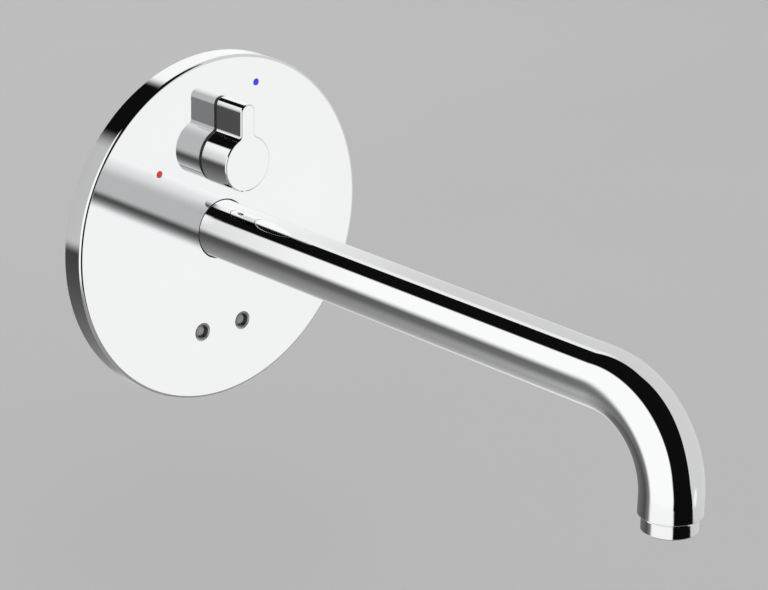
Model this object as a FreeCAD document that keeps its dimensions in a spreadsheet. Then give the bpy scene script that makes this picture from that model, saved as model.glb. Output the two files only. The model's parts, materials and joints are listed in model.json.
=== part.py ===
# Wall-mounted touchless basin mixer: a round chromed cover plate with a long
# spout, a temperature knob and two sensor windows, and the valve unit that the
# wall hides behind it.
#
# Frame: millimetres, +Z up, -Y towards the user. The origin is the centre of
# the cover plate in the wall's surface, so everything at y > 0 is in the wall.

import FreeCAD, Part
import math
import os
import re

import Sketcher
from FreeCAD import Placement, Rotation, Vector

SIZES = {
    # cover plate: a dished pan, its open side on the wall
    "plate_dia": 170.0,
    "plate_depth": 11.5,
    "plate_wall": 1.5,
    "plate_edge_round": 1.2,
    # temperature marks, on a circle about the knob's axis
    "dot_dia": 3.2,
    "dot_depth": 0.4,
    "dot_orbit": 38.2,
    "hot_angle": 93.0,
    "cold_angle": 33.0,
    # spout: a bent tube, measured to the axis of its outlet
    "tube_dia": 28.0,
    "tube_wall": 1.5,
    "bend_radius": 40.0,
    "spout_reach": 300.5,
    "outlet_drop": 49.0,
    "outlet_chamfer": 1.3,
    # slide ring that closes the plate's hole round the spout
    "ring_wall": 0.6,
    "ring_recess": 0.2,
    "ring_flange": 1.0,
    "ring_flange_width": 3.0,
    # shank that carries the spout
    "shank_front": 32.0,
    "shank_bore": 13.0,
    "shank_flange": 3.0,
    "shank_flange_dia": 36.0,
    "shank_thread": 19.8,
    "shank_engagement": 11.5,
    "nut_flats": 27.0,
    "nut_height": 6.0,
    # outlet: threaded sleeve in the tube's end and the stream former in it
    "outlet_thread": 22.9,
    "outlet_sleeve_length": 8.0,
    "stream_collar_dia": 24.6,
    "stream_collar_height": 5.9,
    "stream_wall": 1.4,
    "stream_chamfer": 0.5,
    "stream_lip": 0.8,
    "washer_height": 1.0,
    "washer_lip": 1.0,
    "grid_height": 4.0,
    "grid_pitch": 2.6,
    "grid_web": 0.5,
    "grid_rings": 3,
    "screen_height": 0.6,
    "screen_hole": 1.0,
    # knob
    "knob_axis_height": 37.0,
    "knob_dia": 27.2,
    "knob_front_out": 18.7,
    "knob_gap": 1.0,
    "lever_width": 8.4,
    "lever_reach": 29.0,
    "lever_round": 3.7,
    "lever_root_round": 2.0,
    "knob_chamfer": 0.5,
    "knob_bore": 14.0,
    "knob_bore_depth": 12.0,
    "glide_height": 0.8,
    "glide_inset": 0.4,
    "grub_dia": 4.0,
    "grub_length": 5.0,
    "grub_socket": 2.0,
    "grub_socket_depth": 1.7,
    # mixing cartridge, on the knob's axis
    "stem_dia": 8.0,
    "stem_insert": 11.0,
    "stem_clearance": 1.5,
    "cartridge_dia": 29.4,
    "cartridge_wall": 2.4,
    "cartridge_floor": 3.0,
    "disc_height": 3.0,
    "port_offset": 7.0,
    "port_dia": 5.6,
    "recess_sweep": 150.0,
    "recess_depth": 1.5,
    "nut_skirt": 5.0,
    "nut_head": 5.0,
    "cartridge_nut_flats": 32.0,
    "stop_height": 2.0,
    "stop_dia": 20.0,
    "stop_tab_width": 3.0,
    "stop_tab_reach": 7.5,
    "stop_play": 1.5,
    "tongue_length": 16.0,
    "tongue_height": 1.2,
    "tongue_width": 4.0,
    "stem_ring_section": 1.6,
    "base_seal_height": 1.0,
    # carrier plate on the wall
    "carrier_thick": 5.0,
    "carrier_web": 3.0,
    "carrier_rim": 6.0,
    "carrier_gap": 1.0,
    "rib_width": 3.0,
    "rib_count": 8,
    "pad_dia": 15.0,
    "spout_hub_dia": 60.0,
    "knob_hub_dia": 28.0,
    "knob_hole_dia": 16.0,
    "cover_ring_section": 3.0,
    "wall_screw_inset": 19.0,
    "wall_screw_hole": 5.2,
    "screw_dia": 4.0,
    "screw_head_dia": 7.0,
    "screw_head_height": 2.2,
    "screw_socket": 2.4,
    "socket_depth": 1.1,
    "screw_length": 14.0,
    "control_screw_length": 10.0,
    "lid_screw_length": 8.0,
    # mixing body in the wall
    "body_front": 8.0,
    "pocket_depth": 20.0,
    "body_wall": 3.5,
    "body_back": 32.0,
    "inlet_axis_depth": 24.0,
    "inlet_span": 108.0,
    "inlet_thread": 18.6,
    "inlet_thread_length": 11.0,
    "inlet_arm_dia": 24.0,
    "check_bore": 17.2,
    "check_length": 12.0,
    "inlet_axis_drop": 20.0,
    "channel_dia": 9.0,
    "riser_dia": 7.0,
    "riser_span": 52.0,
    "body_screw_span": 76.0,
    "lug_screw_span": 51.0,
    "pillar_dia": 11.0,
    "lug_depth": 6.0,
    "lug_height": 12.0,
    # check valves
    "strainer_height": 1.0,
    "strainer_hole": 2.0,
    "strainer_pitch": 3.2,
    "strainer_rings": 2,
    "spider_window": 3.6,
    "check_wall": 1.8,
    "check_seat": 2.0,
    "check_seat_bore": 9.0,
    "poppet_dia": 12.0,
    "poppet_height": 2.0,
    "poppet_stem_dia": 3.0,
    "poppet_travel": 2.5,
    "spider_height": 2.0,
    "check_spring_dia": 6.4,
    "check_spring_wire": 0.7,
    "check_spring_turns": 4,
    # pilot valve behind the spout
    "chamber_dia": 26.0,
    "chamber_front": 22.0,
    "seat_plane": 29.0,
    "seat_bore": 10.0,
    "seat_wall": 2.0,
    "mixed_channel": 6.0,
    "membrane_dia": 30.0,
    "membrane_height": 1.2,
    "core_hole": 8.0,
    "core_flange": 17.0,
    "core_flange_height": 2.0,
    "core_nose": 3.0,
    "core_travel": 1.5,
    "pilot_hole": 1.4,
    "bonnet_side": 36.0,
    "bonnet_round": 3.0,
    "bonnet_height": 3.0,
    "bonnet_screw_span": 27.0,
    "guide_dia": 11.0,
    "guide_wall": 0.8,
    "guide_cap": 5.0,
    "clip_width": 3.0,
    "clip_height": 0.8,
    "plunger_length": 18.0,
    "plunger_travel": 2.0,
    "plunger_spring_room": 7.0,
    "plunger_spring_dia": 4.0,
    "plunger_spring_wire": 0.6,
    "plunger_spring_turns": 4,
    "coil_dia": 27.0,
    "coil_length": 15.0,
    "yoke_sheet": 1.5,
    "yoke_width": 19.0,
    "plug_width": 10.0,
    "plug_depth": 9.0,
    "plug_height": 4.0,
    # control unit with the two sensors
    "sensor_spacing": 25.0,
    "sensor_drop": 50.0,
    "sensor_hole": 7.8,
    "sensor_rim": 0.6,
    "bezel_wall": 0.4,
    "bezel_flange": 1.0,
    "bezel_flange_width": 1.6,
    "window_recess": 1.6,
    "snout_dia": 9.4,
    "eye_dia": 5.0,
    "eye_length": 5.6,
    "eye_leg": 0.5,
    "eye_leg_pitch": 2.54,
    "control_width": 66.0,
    "control_height": 42.0,
    "control_depth": 28.0,
    "control_wall": 2.0,
    "control_round": 5.0,
    "control_low": 76.0,
    "lid_height": 2.0,
    "lid_edge_round": 1.0,
    "board_gap": 4.0,
    "board_height": 1.6,
    "board_width": 46.0,
    "board_tall": 30.0,
    "board_round": 2.0,
    "board_post": 4.0,
    "post_dia": 7.0,
    "battery_width": 35.0,
    "battery_height": 36.0,
    "battery_depth": 19.5,
    "battery_round": 8.5,
    "control_screw_span": 56.0,
    # lead from the coil to the control unit
    "lead_dia": 2.6,
    "gland_dia": 7.0,
    "gland_length": 5.0,
    "gland_flange": 1.5,
    "lead_across": 20.0,
    "lead_drop": 57.0,
    # fits
    "seat_gap": 0.1,
    "free_gap": 0.3,
    "ring_section": 2.0,
    "ring_edge": 2.4,
    "ring_pitch": 3.6,
    "shaft_fit": 0.05,
}

doc = FreeCAD.newDocument("BasinMixer")
sheet = doc.addObject("Spreadsheet::Sheet", "Sizes")
nodes = {}


def fill_sheet():
    """One row for each driving size: its name, and its plain number under that alias."""
    for row, (name, number) in enumerate(SIZES.items(), start=1):
        sheet.set(f"A{row}", name)
        sheet.set(f"B{row}", str(number))
        sheet.setAlias(f"B{row}", name)
    doc.recompute()


def bound(text):
    """The expression that reads each size named in text from the sheet."""
    return re.sub(r"\b([a-z]\w*)\b(?!\()", r"Sizes.\1", text)


def value(text):
    """The number that an expression on the sizes has now."""
    return float(sheet.evalExpression(bound(text)))


def bind(thing, **properties):
    """Tie properties of an object to expressions on the sizes."""
    for name, text in properties.items():
        thing.setExpression(name, bound(text))
    return thing


def moved(thing, at):
    """Place an object's own origin at three expressions on the sizes."""
    for letter, text in zip("xyz", at):
        if text != "0":
            thing.setExpression(f".Placement.Base.{letter}", bound(text))
    return thing


def node(thing, label):
    """Name a finished piece and list it for export."""
    thing.Label = label
    nodes[label] = thing
    return thing


# Turns that lay a primitive's own Z axis along a row axis
ALONG = {
    "x": Rotation(Vector(0, 1, 0), 90),
    "y": Rotation(Vector(1, 0, 0), -90),
    "z": Rotation(),
}


def drum(radius, length, axis, at, angle=None):
    """A cylinder that starts at a point and runs along +axis."""
    solid = doc.addObject("Part::Cylinder", "Drum")
    solid.Placement.Rotation = ALONG[axis]
    bind(solid, Radius=radius, Height=length)
    if angle is not None:
        bind(solid, Angle=angle)
    return moved(solid, at)


def block(size, at):
    """A box from its low corner."""
    solid = doc.addObject("Part::Box", "Block")
    bind(solid, Length=size[0], Width=size[1], Height=size[2])
    return moved(solid, at)


def ring(mean_radius, section_radius, axis, at):
    """A round-section ring about a point."""
    solid = doc.addObject("Part::Torus", "Ring")
    solid.Placement.Rotation = ALONG[axis]
    bind(solid, Radius1=mean_radius, Radius2=section_radius)
    return moved(solid, at)


def hexagon(flats, height, axis, at):
    """A hexagonal bar along an axis, its size given across flats."""
    solid = doc.addObject("Part::Prism", "Hexagon")
    solid.Polygon = 6
    solid.Placement.Rotation = ALONG[axis]
    bind(solid, Circumradius=f"({flats}) / 2 / cos(30)", Height=height)
    return moved(solid, at)


def fused(parts, refine=True):
    """A union, with faces of one surface joined unless that is turned off."""
    solid = doc.addObject("Part::MultiFuse", "Union")
    solid.Shapes = parts
    solid.Refine = refine
    return solid


def cut(base, tools):
    """A solid less one tool or the union of several."""
    solid = doc.addObject("Part::Cut", "Cut")
    solid.Base = base
    solid.Tool = tools[0] if len(tools) == 1 else fused(tools)
    return solid


def together(parts):
    """Separate solids that share one node."""
    solid = doc.addObject("Part::Compound", "Set")
    solid.Links = parts
    return solid


def new_body():
    return doc.addObject("PartDesign::Body", "Body")


def sketch_on(body, role, name):
    """A sketch on one of the body's own origin planes."""
    sketch = body.newObject("Sketcher::SketchObject", name)
    plane = [face for face in body.Origin.OriginFeatures if face.Role == role][0]
    sketch.AttachmentSupport = [(plane, "")]
    sketch.MapMode = "FlatFace"
    return sketch


def fix_point(sketch, geometry, end, across, up):
    """Hold one point of a sketch by its two coordinates."""
    for kind, text in (("DistanceX", across), ("DistanceY", up)):
        number = sketch.addConstraint(Sketcher.Constraint(kind, geometry, end, value(text)))
        sketch.setExpression(f"Constraints[{number}]", bound(text))


def closed_outline(sketch, points):
    """Straight edges round a list of points, each a pair of expressions."""
    places = [Vector(value(across), value(up), 0) for across, up in points]
    count = len(places)
    for index in range(count):
        sketch.addGeometry(Part.LineSegment(places[index], places[(index + 1) % count]))
    for index, (across, up) in enumerate(points):
        sketch.addConstraint(Sketcher.Constraint("Coincident", index, 2, (index + 1) % count, 1))
        fix_point(sketch, index, 1, across, up)


def circle(sketch, radius, across="0", up="0"):
    """A circle held by its centre and its radius."""
    centre = Vector(value(across), value(up), 0)
    number = sketch.addGeometry(Part.Circle(centre, Vector(0, 0, 1), value(radius)))
    fix_point(sketch, number, 3, across, up)
    held = sketch.addConstraint(Sketcher.Constraint("Radius", number, value(radius)))
    sketch.setExpression(f"Constraints[{held}]", bound(radius))


def turned(axis, points, at=("0", "0", "0")):
    """A turned piece: points are (along the axis, radius) pairs of its half section."""
    body = new_body()
    sketch = sketch_on(body, "YZ_Plane" if axis == "y" else "XZ_Plane", "HalfSection")
    if axis == "z":
        points = [(radius, along) for along, radius in points]
    closed_outline(sketch, points)
    turn = body.newObject("PartDesign::Revolution", "Turn")
    turn.Profile = sketch
    turn.ReferenceAxis = (sketch, ["V_Axis" if axis == "z" else "H_Axis"])
    return moved(body, at)


def sleeve(inner, outer, start, end):
    """Half section of a plain tube between two places along its axis."""
    return [(start, inner), (start, outer), (end, outer), (end, inner)]


def pad(body, sketch, length):
    feature = body.newObject("PartDesign::Pad", "Pad")
    feature.Profile = sketch
    return bind(feature, Length=length)


def pocket(body, sketch, length=None):
    """A pocket of one depth against the sketch's normal, or right through both ways."""
    feature = body.newObject("PartDesign::Pocket", "Pocket")
    feature.Profile = sketch
    if length is None:
        feature.Type = "ThroughAll"
        feature.Midplane = True
    else:
        bind(feature, Length=length)
    return feature


def edges_of(feature, wanted):
    """Names of the feature's edges that pass a test."""
    edges = feature.Shape.Edges
    return [f"Edge{number + 1}" for number, edge in enumerate(edges) if wanted(edge)]


def dressed(body, kind, base, wanted, size):
    """A fillet or chamfer on the edges of the body's last feature that pass a test."""
    doc.recompute()
    feature = body.newObject(kind, kind.split("::")[1])
    feature.Base = (base, edges_of(base, wanted))
    name = "Radius" if kind.endswith("Fillet") else "Size"
    bind(feature, **{name: size})
    return feature


def near(first, second):
    return abs(first - second) < 1e-5


def runs_along(axis):
    """A test for edges that leave their first point along an axis."""
    return lambda edge: near(abs(edge.tangentAt(edge.FirstParameter).dot(axis)), 1)


def rectangle(width, height):
    """Corners of a rectangle about a sketch's origin."""
    return [(f"{x}({width}) / 2", f"{y}({height}) / 2")
            for x, y in (("-", "-"), ("", "-"), ("", ""), ("-", ""))]


def slab(width, height, depth, corner, at):
    """A plate across Y with rounded corners: its back is at a point, and it is padded forwards."""
    body = new_body()
    outline = sketch_on(body, "XZ_Plane", "Outline")
    closed_outline(outline, rectangle(width, height))
    whole = pad(body, outline, depth)
    rounded = dressed(body, "PartDesign::Fillet", whole, runs_along(Vector(0, 1, 0)), corner)
    return moved(body, at), rounded


def is_circle(edge, radius):
    return hasattr(edge.Curve, "Radius") and near(edge.Curve.Radius, radius)


# Planes and radii that several pieces share
PLATE_BACK = "plate_wall - plate_depth"
RING_BORE = "tube_dia / 2 + seat_gap"
RING_OUTSIDE = RING_BORE + " + ring_wall"
SPOUT_HOLE = RING_OUTSIDE + " + seat_gap"
TUBE_START = "-carrier_thick - shank_flange"
TUBE_BORE = "tube_dia / 2 - tube_wall"
STEM_HOLE = "stem_dia / 2 + stem_clearance"
KNOB_BACK = "-plate_depth - knob_gap"
PORT_RADIUS = "shank_thread / 2 + 2 * seat_gap"
POCKET_RADIUS = "cartridge_dia / 2 + free_gap"
POCKET_FLOOR = "body_front + pocket_depth"
SEAL_FRONT = "body_front + pocket_depth - base_seal_height"
HOUSING_FLOOR = SEAL_FRONT + " - cartridge_floor"
DISC_FACE = HOUSING_FLOOR + " - disc_height"
DRIVE_BACK = DISC_FACE + " - disc_height"
DRIVE_FRONT = "body_front + nut_skirt + free_gap"
NUT_FRONT = "body_front - nut_head"
MEMBRANE_BACK = "seat_plane + membrane_height"
CORE_BACK = MEMBRANE_BACK + " + core_flange_height"
BONNET_ROOM = CORE_BACK + " + core_travel + free_gap"
BONNET_BACK = BONNET_ROOM + " + bonnet_height"
GUIDE_STOP = CORE_BACK + " + plunger_length + plunger_travel + seat_gap"
KNOB_AXIS = ("0", "0", "knob_axis_height")
SIDES = {"hot": -1, "cold": 1}
PORTS = ("-port_offset", "0", "port_offset")

# A spring's end turns lie this many wire radii from their seats
SEAT_RADII = 1.2
# Points on each arc of a coiled wire when its gap is measured
GAP_POINTS = 9
# Share of the shorter run that each bend of the lead takes
BEND_SHARE = 0.45


def make_cover_plate():
    """Dished plate with holes for the spout, the knob's stem and the two sensors."""
    body = turned("y", [
        ("-plate_depth", "0"),
        ("-plate_depth", "plate_dia / 2"),
        ("0", "plate_dia / 2"),
        ("0", "plate_dia / 2 - plate_wall"),
        (PLATE_BACK, "plate_dia / 2 - plate_wall"),
        (PLATE_BACK, "0"),
    ])
    holes = sketch_on(body, "XZ_Plane", "Holes")
    circle(holes, SPOUT_HOLE)
    circle(holes, STEM_HOLE, "0", "knob_axis_height")
    for side in ("-", ""):
        circle(holes, "sensor_hole / 2", side + "sensor_spacing / 2", "-sensor_drop")
    pocket(body, holes)
    marks = sketch_on(body, "XZ_Plane", "Marks")
    bind(marks, **{".AttachmentOffset.Base.z": "plate_depth"})
    for across, up in dot_places():
        circle(marks, "dot_dia / 2", across, up)
    sunk = pocket(body, marks, "dot_depth")
    front = -value("plate_depth")
    rounded = dressed(
        body, "PartDesign::Fillet", sunk,
        lambda edge: is_circle(edge, value("plate_dia / 2")) and near(edge.Curve.Center.y, front),
        "plate_edge_round")
    dressed(
        body, "PartDesign::Chamfer", rounded,
        lambda edge: is_circle(edge, value("sensor_hole / 2")) and near(edge.Curve.Center.y, front),
        "sensor_rim")
    node(body, "cover_plate")


def dot_places():
    """Where the hot and the cold mark lie: left of the knob, and right of the lever."""
    return [
        ("-dot_orbit * sin(hot_angle)", "knob_axis_height + dot_orbit * cos(hot_angle)"),
        ("dot_orbit * sin(cold_angle)", "knob_axis_height + dot_orbit * cos(cold_angle)"),
    ]


def make_dots():
    for label, (across, up) in zip(("hot_dot", "cold_dot"), dot_places()):
        dot = drum("dot_dia / 2 - seat_gap / 2", "dot_depth", "y", (across, "-plate_depth", up))
        node(dot, label)


def make_spout():
    """Bent tube: back in line with the plate, a quarter bend, then down to the outlet."""
    body = new_body()
    path = sketch_on(body, "YZ_Plane", "Path")
    corner = "bend_radius - spout_reach"
    points = [
        (TUBE_START, "0"),
        (corner, "0"),
        ("-spout_reach", "-bend_radius"),
        ("-spout_reach", "-outlet_drop"),
    ]
    places = [Vector(value(across), value(up), 0) for across, up in points]
    centre = Vector(value(corner), value("-bend_radius"), 0)
    bend = Part.Circle(centre, Vector(0, 0, 1), value("bend_radius"))
    path.addGeometry(Part.LineSegment(places[0], places[1]))
    path.addGeometry(Part.ArcOfCircle(bend, math.pi / 2, math.pi))
    path.addGeometry(Part.LineSegment(places[2], places[3]))
    for geometry, end, point in ((0, 1, 0), (0, 2, 1), (2, 1, 2), (2, 2, 3)):
        fix_point(path, geometry, end, *points[point])
    path.addConstraint(Sketcher.Constraint("Coincident", 0, 2, 1, 1))
    path.addConstraint(Sketcher.Constraint("Coincident", 1, 2, 2, 1))
    held = path.addConstraint(Sketcher.Constraint("DistanceX", 1, 3, centre.x))
    path.setExpression(f"Constraints[{held}]", bound(corner))
    section = sketch_on(body, "XZ_Plane", "Section")
    bind(section, **{".AttachmentOffset.Base.z": f"-({TUBE_START})"})
    circle(section, "tube_dia / 2")
    circle(section, TUBE_BORE)
    pipe = body.newObject("PartDesign::AdditivePipe", "Pipe")
    pipe.Profile = section
    pipe.Spine = (path, [])
    low = -value("outlet_drop")
    dressed(
        body, "PartDesign::Chamfer", pipe,
        lambda edge: is_circle(edge, value("tube_dia / 2")) and near(edge.Curve.Center.z, low),
        "min(outlet_chamfer; tube_wall - seat_gap)")
    node(body, "spout_tube")


def make_spout_base():
    """What carries the spout: slide ring, shank, its nut and its two sealing rings."""
    flange_edge = RING_BORE + " + ring_flange_width"
    node(turned("y", [
        ("ring_recess - plate_depth", RING_BORE),
        ("ring_recess - plate_depth", RING_OUTSIDE),
        (PLATE_BACK, RING_OUTSIDE),
        (PLATE_BACK, flange_edge),
        (PLATE_BACK + " + ring_flange", flange_edge),
        (PLATE_BACK + " + ring_flange", RING_BORE),
    ]), "spout_slide_ring")
    end = "body_front + shank_engagement"
    groove_floor = PORT_RADIUS + " - 2 * seat_gap - ring_section"
    grooves = [end + " - ring_edge - ring_pitch", end + " - ring_edge"]
    plain = "shank_thread / 2"
    half = "ring_section / 2 + seat_gap"
    shank = [
        ("-shank_front", "shank_bore / 2"),
        ("-shank_front", TUBE_BORE + " - seat_gap / 2"),
        (TUBE_START, TUBE_BORE + " - seat_gap / 2"),
        (TUBE_START, "shank_flange_dia / 2"),
        ("-carrier_thick", "shank_flange_dia / 2"),
        ("-carrier_thick", plain),
    ]
    for groove in grooves:
        shank += [
            (f"{groove} - ({half})", plain),
            (f"{groove} - ({half})", groove_floor),
            (f"{groove} + {half}", groove_floor),
            (f"{groove} + {half}", plain),
        ]
    shank += [(end, plain), (end, "shank_bore / 2")]
    node(turned("y", shank), "spout_shank")
    mean = PORT_RADIUS + " - seat_gap - ring_section / 2"
    rings = [ring(mean, "ring_section / 2", "y", ("0", groove, "0")) for groove in grooves]
    node(together(rings), "spout_sealing_rings")
    nut = cut(
        hexagon("nut_flats", "nut_height", "y", ("0", "0", "0")),
        [drum("shank_thread / 2 + seat_gap", "nut_height", "y", ("0", "0", "0"))])
    node(nut, "spout_nut")


def make_outlet():
    """Threaded sleeve in the tube's end, and the stream former with its washer and screen."""
    at = ("0", "-spout_reach", "0")
    thread = "outlet_thread / 2"
    collar = "stream_collar_dia / 2"
    top = "outlet_sleeve_length - outlet_drop"
    node(turned("z", sleeve(thread, TUBE_BORE + " - seat_gap / 2", top, "-outlet_drop"), at),
         "outlet_sleeve")
    shoulder = "-outlet_drop - free_gap"
    low = shoulder + " - stream_collar_height"
    bore = thread + " - seat_gap - stream_wall"
    node(turned("z", [
        (top, bore),
        (top, thread + " - seat_gap"),
        (shoulder, thread + " - seat_gap"),
        (shoulder, collar),
        (low + " + stream_chamfer", collar),
        (low, collar + " - stream_chamfer"),
        (low, bore + " - stream_lip"),
        (low + " + stream_lip", bore + " - stream_lip"),
        (low + " + stream_lip", bore),
    ], at), "stream_former_housing")
    washer = sleeve(bore + " - washer_lip", thread + " - seat_gap", top, top + " + washer_height")
    node(turned("z", washer, at), "outlet_washer")
    insert = bore + " - seat_gap"
    grid_low = low + " + stream_lip"
    grid = drum(insert, "grid_height", "z", ("0", "-spout_reach", grid_low))
    node(cut(grid, honeycomb(grid_low)), "stream_former_grid")
    screen = drum(insert, "screen_height", "z", ("0", "-spout_reach", grid_low + " + grid_height"))
    node(cut(screen, screen_holes(grid_low + " + grid_height")), "stream_former_screen")


def hex_places(rings):
    """Whole steps (across, diagonal) of a hexagonal pattern out to a number of rings."""
    rings = int(value(rings))
    span = range(-rings, rings + 1)
    return [(i, j) for i in span for j in span if abs(i + j) <= rings]


def honeycomb(low):
    """Hexagonal cells that stand side by side right through the stream former's grid."""
    cells = []
    for i, j in hex_places("grid_rings"):
        cell = doc.addObject("Part::Prism", "Cell")
        cell.Polygon = 6
        bind(cell, Circumradius="(grid_pitch - grid_web) / 2 / cos(30)", Height="grid_height")
        cell.Placement.Rotation = Rotation(Vector(0, 0, 1), 30)
        cells.append(moved(cell, (
            f"grid_pitch * ({i} + {j} / 2)",
            f"grid_pitch * {j} * cos(30) - spout_reach",
            low)))
    return cells


def screen_holes(low):
    """Round holes over the honeycomb's cells."""
    return [
        drum("screen_hole / 2", "screen_height", "z", (
            f"grid_pitch * ({i} + {j} / 2)",
            f"grid_pitch * {j} * cos(30) - spout_reach",
            low))
        for i, j in hex_places("grid_rings")
    ]


def keyhole(inset, length, at):
    """A disc with a rounded lever tab above it, both padded towards the user."""
    body = new_body()
    disc = sketch_on(body, "XZ_Plane", "Disc")
    circle(disc, "knob_dia / 2 - " + inset)
    pad(body, disc, length)
    tab = sketch_on(body, "XZ_Plane", "Tab")
    half = "lever_width / 2 - " + inset
    tip = "lever_reach - " + inset
    closed_outline(tab, [(f"-({half})", "0"), (half, "0"), (half, tip), (f"-({half})", tip)])
    whole = pad(body, tab, length)
    reach = value("lever_width / 2 - " + inset)
    top = value(tip)

    def upright(edge, high):
        ends = [vertex.Point for vertex in edge.Vertexes]
        if len(ends) != 2 or not near(abs(ends[0].x), reach) or not near(ends[0].z, ends[1].z):
            return False
        return near(ends[0].x, ends[1].x) and near(ends[0].z, top) == high

    rounded = dressed(body, "PartDesign::Fillet", whole,
                      lambda edge: upright(edge, True), "lever_round - " + inset)
    root = dressed(body, "PartDesign::Fillet", rounded,
                   lambda edge: upright(edge, False), "lever_root_round")
    return moved(body, at), root


def make_knob():
    """Temperature knob: keyhole body, black glide under it, spline adapter and grub screw."""
    length = "knob_front_out - knob_gap"
    body, root = keyhole("0", length, ("0", KNOB_BACK, "knob_axis_height"))
    front = -value(length)
    dressed(
        body, "PartDesign::Chamfer", root,
        lambda edge: near(edge.CenterOfMass.y, front)
        and all(near(vertex.Point.y, front) for vertex in edge.Vertexes),
        "knob_chamfer")
    bore = sketch_on(body, "XZ_Plane", "Bore")
    circle(bore, "knob_bore / 2")
    pocket(body, bore, "knob_bore_depth").Reversed = True
    grub_hole = sketch_on(body, "XY_Plane", "GrubHole")
    circle(grub_hole, "grub_dia / 2 + seat_gap", "0", "-knob_bore_depth / 2")
    pocket(body, grub_hole, "knob_dia / 2")
    node(body, "knob")

    glide_back = KNOB_BACK + " + glide_height"
    glide, _ = keyhole("glide_inset", "glide_height", ("0", glide_back, "knob_axis_height"))
    passage = sketch_on(glide, "XZ_Plane", "Passage")
    circle(passage, STEM_HOLE)
    pocket(glide, passage)
    node(glide, "knob_glide")

    node(turned("y", sleeve(
        "stem_dia / 2 + shaft_fit", "knob_bore / 2 - shaft_fit",
        KNOB_BACK + " - knob_bore_depth + free_gap", KNOB_BACK), KNOB_AXIS), "knob_adapter")
    low = "knob_axis_height - knob_bore / 2 - seat_gap - grub_length"
    across = ("0", KNOB_BACK + " - knob_bore_depth / 2", low)
    socket = hexagon("grub_socket", "grub_socket_depth", "z", across)
    node(cut(drum("grub_dia / 2", "grub_length", "z", across), [socket]), "knob_grub_screw")


def sector(radius, length, left_angle, sweep, at):
    """Part of a drum along +Y, from an angle left of straight up, clockwise from the front."""
    solid = drum(radius, length, "y", at, angle=sweep)
    start = math.radians(value(left_angle))
    first = Vector(-math.sin(start), 0, math.cos(start))
    along = Vector(0, 1, 0)
    solid.Placement.Rotation = Rotation(first, along.cross(first), along, "ZXY")
    return solid


def mixing_recess():
    """Pie-shaped recess in the moving disc's face that joins the side ports to the middle one."""
    at = ("0", DISC_FACE + " - recess_depth", "knob_axis_height")
    reach = "port_offset + port_dia / 2"
    wedge = sector(reach, "recess_depth", "recess_sweep / 2", "recess_sweep", at)
    return fused([wedge, drum("port_dia / 2", "recess_depth", "y", at)])


def port(start, length, across, up):
    return drum("port_dia / 2", length, "y", (across, start, up))


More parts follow.
